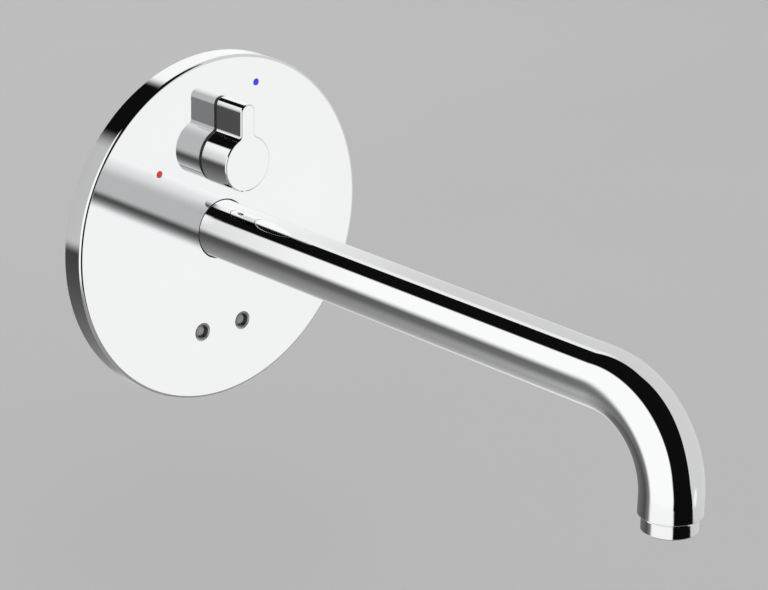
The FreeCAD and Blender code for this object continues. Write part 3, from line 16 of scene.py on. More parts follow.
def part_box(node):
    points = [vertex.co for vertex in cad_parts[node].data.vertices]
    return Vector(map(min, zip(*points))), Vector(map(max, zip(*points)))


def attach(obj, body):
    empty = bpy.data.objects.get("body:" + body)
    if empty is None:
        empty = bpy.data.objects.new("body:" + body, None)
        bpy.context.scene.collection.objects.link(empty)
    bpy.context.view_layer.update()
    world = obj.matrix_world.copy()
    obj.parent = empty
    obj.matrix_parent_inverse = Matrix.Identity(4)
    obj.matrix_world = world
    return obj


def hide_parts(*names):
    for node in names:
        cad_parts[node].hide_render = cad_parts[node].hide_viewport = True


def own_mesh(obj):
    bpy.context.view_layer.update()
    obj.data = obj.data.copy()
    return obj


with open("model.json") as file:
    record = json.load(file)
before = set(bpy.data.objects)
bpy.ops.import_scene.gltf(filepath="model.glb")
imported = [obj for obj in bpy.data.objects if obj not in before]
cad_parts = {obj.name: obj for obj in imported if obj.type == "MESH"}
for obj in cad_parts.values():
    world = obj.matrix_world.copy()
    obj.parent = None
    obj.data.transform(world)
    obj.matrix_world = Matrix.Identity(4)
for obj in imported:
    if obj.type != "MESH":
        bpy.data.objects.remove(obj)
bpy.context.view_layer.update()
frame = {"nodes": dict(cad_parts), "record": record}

MM = 0.001
# Points this close are one: in metres in a mesh, in millimetres in a flat face
MERGE = 2e-7
FLAT_MERGE = 1e-6
# Steps round a full turn, and along each rounded edge
TURN_STEPS = 160
ARC_STEPS = 5
# A row of points this far past each rounded edge keeps the flat beside it true
HOLD = 0.03
SHARP_ANGLE = math.radians(34)


def reach(node, axis, high):
    """Where a node of the frame ends along an axis, in millimetres."""
    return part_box(node)[1 if high else 0]["xyz".index(axis)] / MM


# Cover plate
PLATE_RADIUS = reach("cover_plate", "x", True)
PLATE_FRONT = reach("cover_plate", "y", False)
PLATE_WALL = 1.5
PLATE_ROUND = 1.2
SPOUT_HOLE = 14.8
# Spout, along its axis from the wall to the outlet
TUBE_RADIUS = reach("spout_tube", "x", True)
TUBE_WALL = 1.5
TUBE_START = reach("spout_tube", "y", True)
TUBE_END = reach("spout_tube", "z", False)
SPOUT_REACH = -reach("spout_tube", "y", False) - TUBE_RADIUS
BEND_RADIUS = 40.0
BEND_STEPS = 72
BEND_HOLD = 1.0
OUTLET_CHAMFER = 1.3
# Slide ring round the spout
RING_GAP = 0.1
RING_WALL = 0.6
# Outlet collar
COLLAR_THREAD = 11.35
COLLAR_WALL = 1.4
COLLAR_SEAM = 0.12
COLLAR_CHAMFER = 0.5
COLLAR_LIP = 0.8
# Knob
KNOB_HEIGHT = 37.0
KNOB_RADIUS = reach("knob", "x", True)
KNOB_BACK = reach("knob", "y", True)
KNOB_FRONT = reach("knob", "y", False)
KNOB_CHAMFER = 0.5
KNOB_SIDE_ROUND = 0.08
KNOB_FRONT_ROUND = 0.5
KNOB_FLAT = 2.0
KNOB_BORE = 7.0
KNOB_BORE_DEPTH = 12.0
LEVER_HALF = 4.2
LEVER_TIP = reach("knob", "z", True) - KNOB_HEIGHT
LEVER_ROUND = 3.7
LEVER_ROOT = 2.0
ROOT_STEPS = 12
TIP_STEPS = 20
DISC_STEPS = 140
STEM_HOLE = 5.5
GRUB_GAP = 0.1
DRILL_PAST = 1.0
DRILL_STEPS = 48
# Sensor windows
SENSOR_ACROSS = 12.5
SENSOR_HEIGHT = -50.0
SENSOR_HOLE = 3.9
SENSOR_RIM = 0.6
BEZEL_GAP = 0.05
BEZEL_WALL = 0.4
BEZEL_SHOWN = 0.2
LENS_FACE = 2.25
LENS_BULGE = 0.15
LENS_GROOVE = 1.2
LENS_DRAFT = 0.1
LENS_STEPS = 13
# Marks
DOT_LAP = 0.12
DOT_RADIUS = (reach("hot_dot", "x", True) - reach("hot_dot", "x", False)) / 2 + DOT_LAP
DOT_GAP = 0.05
DOT_STEPS = 9
# Valve body's machined faces, the pitches of the board, and the band round the battery
INLET_END = 50.5
POCKET_FACE = 8.15
PAD_PITCH = 2.54
TRACK_PITCH = 1.6
BATTERY_HEIGHT = -55.0
BAND_HALF = 8.5
# Small rounds that break the edges
THIN_EDGE = 0.06
FINE_EDGE = 0.1
POLISHED_EDGE = 0.12
RING_EDGE = 0.15
SOFT_EDGE = 0.2


# Outlines and surfaces

def eased(corners):
    """Outline through corners (first, second, round). An open one has no round at its ends.

    A corner with a round becomes an arc tangent to its two sides: its centre lies on the
    line that halves the corner, at round / sin(half the corner's angle).
    """
    places = np.array([corner[:2] for corner in corners], float)
    points = []
    for number, (_, _, radius) in enumerate(corners):
        corner = places[number]
        if radius == 0:
            points.append(corner[None])
            continue
        back = unit(places[number - 1] - corner)
        ahead = unit(places[(number + 1) % len(places)] - corner)
        half = math.acos(float(np.clip(back @ ahead, -1, 1))) / 2
        inwards = unit(back + ahead)
        side = unit(ahead - back)
        angle = np.linspace(half - math.pi / 2, math.pi / 2 - half, ARC_STEPS + 1)[:, None]
        centre = corner + inwards * radius / math.sin(half)
        touch = radius / math.tan(half) + HOLD
        points += [
            (corner + back * touch)[None],
            centre + radius * (np.sin(angle) * side - np.cos(angle) * inwards),
            (corner + ahead * touch)[None],
        ]
    return np.vstack(points)


def unit(vector):
    """The vector with its length made 1."""
    return vector / np.linalg.norm(vector)


def grid_faces(rows, columns, closed):
    """Quads between the rows of a grid whose columns go all the way round."""
    row = np.arange(rows if closed else rows - 1)[:, None]
    column = np.arange(columns)[None]
    after = (row + 1) % rows
    beside = (column + 1) % columns
    corners = [row * columns + column, row * columns + beside,
               after * columns + beside, after * columns + column]
    return np.stack(corners, axis=-1).reshape(-1, 4).tolist()


# For each axis that a surface is turned about: the axis, and the two ways across it
WAYS = {
    "y": np.array([(0, 1, 0), (0, 0, 1), (1, 0, 0)], float),
    "z": np.array([(0, 0, 1), (1, 0, 0), (0, 1, 0)], float),
}


def turned(outline, axis="y", centre=(0, 0, 0), closed=True, steps=TURN_STEPS):
    """Surface of revolution: a point (along, radius) of the outline goes round the axis to
    centre + along * axis + radius * (cos(angle) * second way + sin(angle) * third way)."""
    main, second, third = WAYS[axis]
    angle = np.linspace(0, 2 * math.pi, steps, endpoint=False)[:, None]
    circle = np.cos(angle) * second + np.sin(angle) * third
    outline = np.asarray(outline, float)
    points = (np.array(centre, float)
              + outline[:, 0, None, None] * main
              + outline[:, 1, None, None] * circle)
    return points.reshape(-1, 3), grid_faces(len(outline), steps, closed)


def ring_at(outline_end, centre, steps=TURN_STEPS):
    """The (x, z) circle that turned() makes of a point (along, radius) about the Y axis."""
    angle = np.linspace(0, 2 * math.pi, steps, endpoint=False)
    radius = outline_end[1]
    return np.column_stack([centre[0] + radius * np.sin(angle), centre[2] + radius * np.cos(angle)])


def flat_face(level, rings):
    """Flat face across Y between an outer ring of (x, z) points and the rings of its holes.

    The rings are joined by triangles, and those stay whose middles lie in the face.
    """
    flat = np.vstack(rings)
    starts = np.cumsum([0] + [len(ring) for ring in rings])
    edges = []
    for start, ring in zip(starts, rings):
        place = np.arange(len(ring))
        edges += np.column_stack([start + place, start + (place + 1) % len(ring)]).tolist()
    found = delaunay_2d_cdt(flat.tolist(), edges, [], 0, FLAT_MERGE)
    spots = np.array(found[0], float)
    triangles = np.array(found[2])
    middles = spots[triangles].mean(axis=1)
    kept = within(middles, rings[0])
    for ring in rings[1:]:
        kept &= ~within(middles, ring)
    return np.insert(spots, 1, level, axis=1), triangles[kept].tolist()


def within(places, ring):
    """Whether each place lies in a ring: a line from it to the right crosses the ring an odd
    number of times."""
    start = ring[None]
    end = np.roll(ring, -1, axis=0)[None]
    across = places[:, None, 0]
    up = places[:, None, 1]
    passes = (start[..., 1] > up) != (end[..., 1] > up)
    share = (up - start[..., 1]) / np.where(passes, end[..., 1] - start[..., 1], 1)
    crossing = start[..., 0] + share * (end[..., 0] - start[..., 0])
    return np.count_nonzero(passes & (across < crossing), axis=1) % 2 == 1


def piece(name, surfaces, look, stands_for, body="root"):
    """One object made of surfaces (points, faces): doubles are merged and faces point out."""
    points = []
    faces = []
    count = 0
    for place, quads in surfaces:
        faces += [[corner + count for corner in quad] for quad in quads]
        points.append(place)
        count += len(place)
    mesh = bpy.data.meshes.new(name)
    mesh.from_pydata(np.vstack(points) * MM, [], faces)
    work = bmesh.new()
    work.from_mesh(mesh)
    bmesh.ops.remove_doubles(work, verts=work.verts, dist=MERGE)
    bmesh.ops.recalc_face_normals(work, faces=work.faces)
    work.to_mesh(mesh)
    work.free()
    return dressed(name, mesh, look, stands_for, body)


def sunk(node):
    """Whether a node lies in the plate or behind it. The spout and the knob mirror the studio
    right up to the wall, as in the photograph, and no such node."""
    return node != "spout_tube" and reach(node, "y", True) > PLATE_FRONT + HOLD


def dressed(name, mesh, look, stands_for, body):
    """The object of a finished mesh: smooth shaded, on its body and in its node's place."""
    mesh.polygons.foreach_set("use_smooth", np.ones(len(mesh.polygons), bool))
    mesh.set_sharp_from_angle(angle=SHARP_ANGLE)
    mesh.materials.append(look)
    thing = bpy.data.objects.new(name, mesh)
    thing.visible_glossy = not sunk(stands_for)
    bpy.context.scene.collection.objects.link(thing)
    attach(thing, body)
    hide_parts(stands_for)
    return thing


# Shader maths

class Socket:
    """An output in a node tree; arithmetic on it adds Math nodes to the tree."""

    def __init__(self, web, link):
        self.web = web
        self.link = link

    def math(self, operation, first, second=0.0):
        settings = {"operation": operation}
        return self.web.node("ShaderNodeMath", settings, {0: first, 1: second})

    def __add__(self, other):
        return self.math("ADD", self, other)

    def __radd__(self, other):
        return self.math("ADD", other, self)

    def __sub__(self, other):
        return self.math("SUBTRACT", self, other)

    def __rsub__(self, other):
        return self.math("SUBTRACT", other, self)

    def __mul__(self, other):
        return self.math("MULTIPLY", self, other)

    def __rmul__(self, other):
        return self.math("MULTIPLY", other, self)

    def __truediv__(self, other):
        return self.math("DIVIDE", self, other)

    def __abs__(self):
        return self.math("ABSOLUTE", self)

    def sine(self):
        return self.math("SINE", self)

    def least(self, other):
        return self.math("MINIMUM", self, other)

    def most(self, other):
        return self.math("MAXIMUM", self, other)

    def ramp(self, start, end):
        """0 below start and 1 above end, with soft ends; the other way round if end < start."""
        return self.web.node(
            "ShaderNodeMapRange", {"interpolation_type": "SMOOTHSTEP"},
            {"Value": self, "From Min": start, "From Max": end})

    def through(self, stops):
        """Straight lines through (value, result) stops, level outside them."""
        low = stops[0][0]
        span = stops[-1][0] - low
        share = (self - low) / span
        greys = [((at - low) / span, (tone, tone, tone, 1)) for at, tone in stops]
        return self.web.node("ShaderNodeValToRGB", {"stops": greys}, {0: share})

    def sibling(self, name):
        """Another output of the same node."""
        return Socket(self.web, self.link.node.outputs[name])


class Web:
    """A node tree that is being filled."""

    def __init__(self, tree):
        self.tree = tree
        tree.nodes.clear()

    def node(self, kind, settings=None, sockets=None, output=0):
        """Add a node: its settings first, then the values or links of its sockets."""
        made = self.tree.nodes.new(kind)
        for name, value in (settings or {}).items():
            if name == "stops":
                set_stops(made.color_ramp, value)
            else:
                setattr(made, name, value)
        for name, value in (sockets or {}).items():
            if isinstance(value, Socket):
                self.tree.links.new(value.link, made.inputs[name])
            else:
                made.inputs[name].default_value = value
        return Socket(self, made.outputs[output])

    def end_in(self, kind, shader):
        """Add the output node of the tree and feed its surface."""
        output = self.tree.nodes.new(kind)
        self.tree.links.new(shader.link, output.inputs["Surface"])

    def place(self):
        """Object coordinates, in metres of the frame."""
        return self.node("ShaderNodeTexCoord", output="Object")

    def parts(self, vector):
        """The x, y and z of a vector."""
        split = self.node("ShaderNodeSeparateXYZ", {}, {0: vector})
        return split, split.sibling("Y"), split.sibling("Z")

    def noise(self, size, detail=2.0, stretch=(1, 1, 1)):
        """Noise between 0 and 1 whose lumps have a size in millimetres, stretched along axes."""
        scales = [1 / (MM * size * way) for way in stretch]
        scaled = self.node("ShaderNodeMapping", {}, {"Vector": self.place(), "Scale": scales})
        sockets = {"Vector": scaled, "Scale": 1.0, "Detail": detail}
        return self.node("ShaderNodeTexNoise", {}, sockets)

    def blend(self, share, first, second):
        """Colour that goes from first to second as share goes from 0 to 1."""
        colours = {0: share, 6: as_colour(first), 7: as_colour(second)}
        return self.node("ShaderNodeMix", {"data_type": "RGBA"}, colours, output=2)

    def bump(self, height, depth):
        """Normal bent by a height of 0 to 1 that stands for a depth in millimetres."""
        return self.node("ShaderNodeBump", {}, {"Height": height, "Distance": depth * MM})


def set_stops(ramp, stops):
    """Give a colour ramp its (place, colour) stops."""
    while len(ramp.elements) < len(stops):
        ramp.elements.new(1.0)
    for element, (place, colour) in zip(ramp.elements, stops):
        element.position = place
        element.color = colour


def as_colour(value):
    """What a colour socket takes: a link as it is, and three numbers with an alpha of 1."""
    return value if isinstance(value, Socket) else (*value, 1.0)


def finish(name, make):
    """A material round one Principled shader whose sockets make() gives."""
    material = bpy.data.materials.new(name)
    material.use_nodes = True
    web = Web(material.node_tree)
    sockets = {key: as_colour(value) if key.endswith("Color") else value
               for key, value in make(web).items()}
    shader = web.node("ShaderNodeBsdfPrincipled", {}, sockets)
    web.end_in("ShaderNodeOutputMaterial", shader)
    return material


# Finishes

def chrome(web):
    """Bright plated chrome with the faintest haze from wiping."""
    haze = web.noise(38, 3)
    wiping = web.noise(5, 2, (1, 1, 6))
    return {
        "Base Color": web.blend(haze, (0.875, 0.88, 0.888), (0.892, 0.895, 0.90)),
        "Metallic": 1.0,
        "Roughness": haze * wiping * 0.03 + 0.025,
    }


def plate_chrome(web):
    """Plated chrome whose sensor holes have satin mouths. The satin ends where the squared
    distance from a hole's middle passes the mouth's."""
    bright = chrome(web)
    across, _, up = web.parts(web.place())
    aside = abs(across) - SENSOR_ACROSS * MM
    above = up - SENSOR_HEIGHT * MM
    mouth = (SENSOR_HOLE + SENSOR_RIM) * MM
    satin = (aside * aside + above * above).ramp((mouth * 1.04) ** 2, mouth ** 2)
    return {
        "Base Color": web.blend(satin, bright["Base Color"], (0.60, 0.60, 0.60)),
        "Metallic": 1.0,
        "Roughness": bright["Roughness"] * (1 - satin) + satin * 0.42,
    }


def enamel(dark, light):
    """Enamel sunk in the plate: one colour, a little deeper at places, under a gloss."""
    def make(web):
        return {
            "Base Color": web.blend(web.noise(0.9), dark, light),
            "Roughness": web.noise(0.6) * 0.08 + 0.18,
            "Coat Weight": 0.2,
            "Coat Roughness": 0.05,
        }
    return make


def moulded(dark, light, roughness, grain, depth):
    """Moulded plastic: slight clouding, and the fine grain of the eroded mould."""
    def make(web):
        cloud = web.noise(14, 3)
        skin = web.noise(grain, 2)
        return {
            "Base Color": web.blend(cloud, dark, light),
            "Roughness": cloud * 0.12 + skin * 0.06 + roughness,
            "Normal": web.bump(skin, depth),
        }
    return make


def rubber(web):
    """Moulded rubber with a dusty bloom."""
    bloom = web.noise(3, 4)
    skin = web.noise(0.35, 2)
    return {
        "Base Color": web.blend(bloom, (0.012, 0.012, 0.013), (0.035, 0.034, 0.034)),
        "Roughness": bloom * 0.2 + 0.5,
        "Normal": web.bump(skin, 0.012),
    }


def turned_brass(web):
    """Machined brass: bright, with fine tool marks across the axis."""
    marks = web.noise(1.0, 2, (6, 0.09, 6))
    stain = web.noise(9, 3)
    return {
        "Base Color": web.blend(stain, (0.70, 0.50, 0.23), (0.83, 0.64, 0.34)),
        "Metallic": 1.0,
        "Roughness": marks * 0.12 + stain * 0.08 + 0.16,
        "Normal": web.bump(marks, 0.006),
    }


def cast_brass(web):
    """Cast brass body: sand-cast skin, its inlet ends and front faces machined bright."""
    across, depth, _ = web.parts(web.place())
    ends = abs(across).ramp(INLET_END * MM, (INLET_END + 0.6) * MM)
    machined = ends.most(depth.ramp(POCKET_FACE * MM, (POCKET_FACE - 0.2) * MM))
    sand = web.noise(0.75, 4)
    lumps = web.noise(6, 3)
    tool = web.noise(1.0, 2, (0.12, 6, 6))
    cast = web.blend(lumps, (0.36, 0.235, 0.105), (0.56, 0.40, 0.20))
    bright = web.blend(tool, (0.72, 0.52, 0.25), (0.83, 0.64, 0.35))
    rough_skin = sand * 0.16 + lumps * 0.12 + 0.34
    height = (sand * 0.7 + lumps * 0.3) * (1 - machined) + tool * machined * 0.12
    return {
        "Base Color": web.blend(machined, cast, bright),
        "Metallic": 1.0,
        "Roughness": rough_skin * (1 - machined) + (tool * 0.12 + 0.18) * machined,
        "Normal": web.bump(height, 0.10),
    }


def steel(web):
    """Stainless steel with a drawn grain and a little staining."""
    grain = web.noise(0.5, 3, (1, 8, 1))
    stain = web.noise(7, 3)
    return {
        "Base Color": web.blend(stain, (0.50, 0.50, 0.50), (0.64, 0.635, 0.62)),
        "Metallic": 1.0,
        "Roughness": grain * 0.14 + stain * 0.08 + 0.2,
        "Normal": web.bump(grain, 0.004),
    }


def ceramic(web):
    """Lapped alumina: milky white with a dull sheen."""
    grain = web.noise(0.25, 3)
    return {
        "Base Color": web.blend(web.noise(4, 3), (0.76, 0.75, 0.72), (0.84, 0.83, 0.80)),
        "Roughness": grain * 0.1 + 0.16,
    }


def dark_resin(web):
    """Resin of the infrared emitter and receiver: smoky, with a polished face."""
    return {
        "Base Color": web.blend(web.noise(2.2, 3), (0.085, 0.085, 0.09), (0.14, 0.14, 0.145)),
        "Roughness": web.noise(1.2) * 0.08 + 0.12,
        "Coat Weight": 0.8,
        "Coat Roughness": 0.04,
    }


def frosted_lens(web):
    """Grey window moulded with a frosted face."""
    return {
        "Base Color": web.blend(web.noise(1.6, 3), (0.38, 0.375, 0.37), (0.44, 0.435, 0.43)),
        "Roughness": web.noise(0.5) * 0.08 + 0.50,
        "Normal": web.bump(web.noise(0.2), 0.004),
    }


def bezel_ring(web):
    """Satin ring whose bore is painted near black as painted shade in the depth of the sensor's
    hole.
    """
    _, depth, _ = web.parts(web.place())
    shown = PLATE_FRONT + BEZEL_SHOWN
    # face is 1 on the ring's front and 0 in the bore, whose near black is painted shade
    face = depth.ramp((shown + 0.1) * MM, shown * MM)
    satin = web.blend(web.noise(1.5), (0.42, 0.42, 0.42), (0.52, 0.52, 0.52))
    return {
        "Base Color": web.blend(face, (0.012, 0.012, 0.012), satin),
        "Metallic": face,
        "Roughness": web.noise(0.8) * 0.1 + 0.42,
    }


def circuit_board(web):
    """Green board with tinned pads in rows and fine tracks between them."""
    across, _, up = web.parts(web.place())
    pad_turns = 2 * math.pi / (PAD_PITCH * MM)
    track_turns = 2 * math.pi / (TRACK_PITCH * MM)
    pads = (across * pad_turns).sine() * (up * pad_turns).sine()
    tracks = ((up + across * 0.5) * track_turns).sine().ramp(0.75, 0.85)
    tin = pads.ramp(0.80, 0.88)
    mask = web.blend(tracks, (0.012, 0.10, 0.035), (0.03, 0.19, 0.07))
    return {
        "Base Color": web.blend(tin, mask, (0.62, 0.61, 0.58)),
        "Metallic": tin,
        "Roughness": 0.42 - tin * 0.12,
        "Normal": web.bump(tracks.most(tin), 0.035),
    }


def battery_wrap(web):
    """Shrink-wrapped battery: a dark sleeve with a pale band round it."""
    _, _, up = web.parts(web.place())
    band = abs(up - BATTERY_HEIGHT * MM).ramp(BAND_HALF * MM, (BAND_HALF - 0.3) * MM)
    creases = web.noise(5, 4, (1, 1, 3))
    return {
        "Base Color": web.blend(band, (0.03, 0.045, 0.075), (0.50, 0.50, 0.48)),
        "Roughness": creases * 0.18 + 0.25,
        "Normal": web.bump(creases, 0.12),
    }


def cable_sheath(web):
    """Extruded sheath: dark and satin, with faint streaks."""
    streak = web.noise(1.2, 3)
    return {
        "Base Color": web.blend(streak, (0.018, 0.018, 0.02), (0.04, 0.04, 0.042)),
        "Roughness": streak * 0.15 + 0.38,
        "Normal": web.bump(web.noise(0.3), 0.01),
    }


# Moulded plastics
GREY = moulded((0.17, 0.175, 0.18), (0.23, 0.235, 0.24), 0.42, 0.45, 0.02)
WHITE = moulded((0.66, 0.66, 0.64), (0.73, 0.73, 0.71), 0.36, 0.4, 0.012)
BLACK = moulded((0.018, 0.018, 0.019), (0.035, 0.035, 0.037), 0.40, 0.4, 0.015)
SLIDING_BLACK = moulded((0.012, 0.012, 0.012), (0.03, 0.03, 0.03), 0.42, 0.3, 0.006)

# A finish for each of the frame's material slots, and three that a slot doesn't tell apart
FINISHES = {
    "chrome": finish("polished_chrome", chrome),
    "hot_mark": finish("red_enamel", enamel((0.74, 0.012, 0.008), (0.90, 0.03, 0.02))),
    "cold_mark": finish("blue_enamel", enamel((0.010, 0.030, 0.78), (0.02, 0.05, 0.95))),
    "slide_ring": finish("black_slide_ring", SLIDING_BLACK),
    "brass": finish("machined_brass", turned_brass),
    "rubber": finish("black_rubber", rubber),
    "grey_plastic": finish("glass_filled_grey", GREY),
    "steel": finish("stainless_steel", steel),
    "ceramic": finish("lapped_ceramic", ceramic),
    "white_plastic": finish("white_moulding", WHITE),
    "black_plastic": finish("black_moulding", BLACK),
    "sensor_lens": finish("frosted_window", frosted_lens),
    "sensor_eye": finish("clear_dark_resin", dark_resin),
    "board": finish("green_board", circuit_board),
    "battery": finish("battery_sleeve", battery_wrap),
    "lead": finish("cable_sheath", cable_sheath),
}
CAST_BRASS = finish("cast_brass", cast_brass)
BEZEL_RING = finish("satin_bezel", bezel_ring)
PLATE_CHROME = finish("plate_chrome", plate_chrome)

slots = {name: node.data.materials[0].name.split(".")[0] for name, node in frame["nodes"].items()}
for name, node in frame["nodes"].items():
    node.material_slots[0].material = CAST_BRASS if name == "mixing_body" else FINISHES[slots[name]]
    node.visible_glossy = not sunk(name)


# Polished pieces

def make_plate():
    """Dished plate: rolled edge round a flat face with four holes and two sunk marks. The
    sensors' holes have a chamfer."""
    inner = PLATE_FRONT + PLATE_WALL
    rim = eased([
        (PLATE_FRONT, PLATE_RADIUS - 2 * PLATE_ROUND, 0),
        (PLATE_FRONT, PLATE_RADIUS, PLATE_ROUND),
        (0, PLATE_RADIUS, POLISHED_EDGE),
        (0, PLATE_RADIUS - PLATE_WALL, POLISHED_EDGE),
        (inner, PLATE_RADIUS - PLATE_WALL, 2 * POLISHED_EDGE),
        (inner, PLATE_RADIUS - 3 * PLATE_WALL, 0),
    ])
    surfaces = [turned(rim, closed=False, steps=2 * TURN_STEPS)]
    origin = (0, 0, 0)
    front_rings = [ring_at(rim[0], origin, 2 * TURN_STEPS)]
    back_rings = [ring_at(rim[-1], origin, 2 * TURN_STEPS)]
    openings = [
        (SPOUT_HOLE, origin, 0),
        (STEM_HOLE, (0, 0, KNOB_HEIGHT), 0),
        (SENSOR_HOLE, (-SENSOR_ACROSS, 0, SENSOR_HEIGHT), SENSOR_RIM),
        (SENSOR_HOLE, (SENSOR_ACROSS, 0, SENSOR_HEIGHT), SENSOR_RIM),
    ]
    for radius, centre, chamfer in openings:
        mouth = [(PLATE_FRONT, radius + chamfer, POLISHED_EDGE)]
        if chamfer:
            mouth.append((PLATE_FRONT + chamfer, radius, POLISHED_EDGE))
        rows = eased([(PLATE_FRONT, radius + 2 * SENSOR_RIM, 0), *mouth,
                      (inner, radius, THIN_EDGE), (inner, radius + SENSOR_RIM, 0)])
        surfaces.append(turned(rows, centre=centre, closed=False))
        front_rings.append(ring_at(rows[0], centre))
        back_rings.append(ring_at(rows[-1], centre))
    for node in ("hot_dot", "cold_dot"):
        centre = dot_centre(node)
        radius = DOT_RADIUS + DOT_GAP
        floor = reach(node, "y", True)
        rows = eased([
            (PLATE_FRONT, radius + 4 * THIN_EDGE, 0),
            (PLATE_FRONT, radius, THIN_EDGE),
            (floor, radius, THIN_EDGE),
            (floor, 0, 0),
        ])
        surfaces.append(turned(rows, centre=centre, closed=False, steps=TURN_STEPS // 2))
        front_rings.append(ring_at(rows[0], centre, TURN_STEPS // 2))
    surfaces.append(flat_face(PLATE_FRONT, front_rings))
    surfaces.append(flat_face(inner, back_rings))
    piece("polished_plate", surfaces, PLATE_CHROME, "cover_plate")


def dot_centre(node):
    """Centre of a mark in the plate's plane."""
    low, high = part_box(node)
    middle = (low + high) / 2 / MM
    return (middle.x, 0, middle.z)


def make_dots():
    """Each mark fills its recess and stands up in a low dome: at a share of its radius it has
    fallen by the gap * share squared."""
    for node, mark in (("hot_dot", "hot_mark"), ("cold_dot", "cold_mark")):
        floor = reach(node, "y", True)
        front = reach(node, "y", False)
        share = np.linspace(0, 1, DOT_STEPS)
        dome = np.column_stack([front + DOT_GAP * share ** 2, DOT_RADIUS * share])
        rows = np.vstack([dome, [(floor, DOT_RADIUS), (floor, 0)]])
        surface = turned(rows, centre=dot_centre(node), closed=False, steps=TURN_STEPS // 2)
        piece(node.replace("dot", "enamel"), [surface], FINISHES[mark], node)


def spout_line(distance):
    """Centre and outward normal of the spout's axis at a distance from the wall end.

    The axis runs straight, then round a quarter circle, then straight down: its direction
    turns by (distance - straight) / bend radius between 0 and 90 degrees.
    """
    straight = TUBE_START + SPOUT_REACH - BEND_RADIUS
    turn = np.clip((distance - straight) / BEND_RADIUS, 0, math.pi / 2)
    fall = np.maximum(distance - straight - BEND_RADIUS * math.pi / 2, 0)
    nothing = np.zeros_like(distance)
    centre = np.column_stack([
        nothing,
        TUBE_START - np.minimum(distance, straight) - BEND_RADIUS * np.sin(turn),
        -BEND_RADIUS * (1 - np.cos(turn)) - fall,
    ])
    normal = np.column_stack([nothing, -np.sin(turn), np.cos(turn)])
    return centre, normal


def make_spout():
    """Bent tube: its wall's outline (distance, radius) is carried round the bent axis at
    centre(distance) + radius * (cos(angle) * normal + sin(angle) * x). Rows just outside the
    bend keep the straight parts true."""
    straight = TUBE_START + SPOUT_REACH - BEND_RADIUS
    quarter = BEND_RADIUS * math.pi / 2
    length = straight + quarter - BEND_RADIUS - TUBE_END
    bend = np.concatenate([[straight - BEND_HOLD],
                           np.linspace(straight, straight + quarter, BEND_STEPS),
                           [straight + quarter + BEND_HOLD]])
    bore = TUBE_RADIUS - TUBE_WALL
    outline = eased(
        [(0, bore, FINE_EDGE), (0, TUBE_RADIUS, SOFT_EDGE)]
        + [(distance, TUBE_RADIUS, 0) for distance in bend]
        + [(length - OUTLET_CHAMFER, TUBE_RADIUS, 2 * POLISHED_EDGE),
           (length, TUBE_RADIUS - OUTLET_CHAMFER, THIN_EDGE), (length, bore, THIN_EDGE)]
        + [(distance, bore, 0) for distance in bend[::-1]])
    centre, normal = spout_line(outline[:, 0])
    angle = np.linspace(0, 2 * math.pi, TURN_STEPS, endpoint=False)[:, None]
    across = np.array([1.0, 0, 0])
    points = centre[:, None] + outline[:, 1, None, None] * (
        np.cos(angle) * normal[:, None] + np.sin(angle) * across)
    surface = points.reshape(-1, 3), grid_faces(len(outline), TURN_STEPS, True)
    piece("polished_spout", [surface], FINISHES["chrome"], "spout_tube")


def make_slide_ring():
    """Black ring between the spout and the plate, with its flange behind the plate."""
    bore = TUBE_RADIUS + RING_GAP
    outside = bore + RING_WALL
    front = reach("spout_slide_ring", "y", False)
    back = reach("spout_slide_ring", "y", True)
    flange = reach("spout_slide_ring", "x", True)
    inner = PLATE_FRONT + PLATE_WALL
    outline = eased([
        (front, bore, RING_EDGE), (front, outside, RING_EDGE), (inner, outside, 0),
        (inner, flange, SOFT_EDGE), (back, flange, SOFT_EDGE), (back, bore, RING_EDGE),
    ])
    piece("slide_ring", [turned(outline)], FINISHES["slide_ring"], "spout_slide_ring")


def make_outlet_collar():
    """Collar of the stream former: narrower than the tube, open below behind a thin lip, with
    its thread inside the tube's end and its shoulder just below that end."""
    low = reach("stream_former_housing", "z", False)
    high = reach("stream_former_housing", "z", True)
    collar = reach("stream_former_housing", "x", True)
    shoulder = TUBE_END - COLLAR_SEAM
    bore = COLLAR_THREAD - COLLAR_WALL
    lip = bore - COLLAR_LIP
    outline = eased([
        (high, bore, FINE_EDGE), (high, COLLAR_THREAD, SOFT_EDGE),
        (shoulder, COLLAR_THREAD, FINE_EDGE), (shoulder, collar, RING_EDGE),
        (low + COLLAR_CHAMFER, collar, SOFT_EDGE), (low, collar - COLLAR_CHAMFER, RING_EDGE),
        (low, lip, FINE_EDGE), (low + COLLAR_LIP, lip, FINE_EDGE),
        (low + COLLAR_LIP, bore, FINE_EDGE),
    ])
    piece("outlet_collar", [turned(outline, "z", (0, -SPOUT_REACH, 0))], FINISHES["chrome"],
          "stream_former_housing")


# Knob

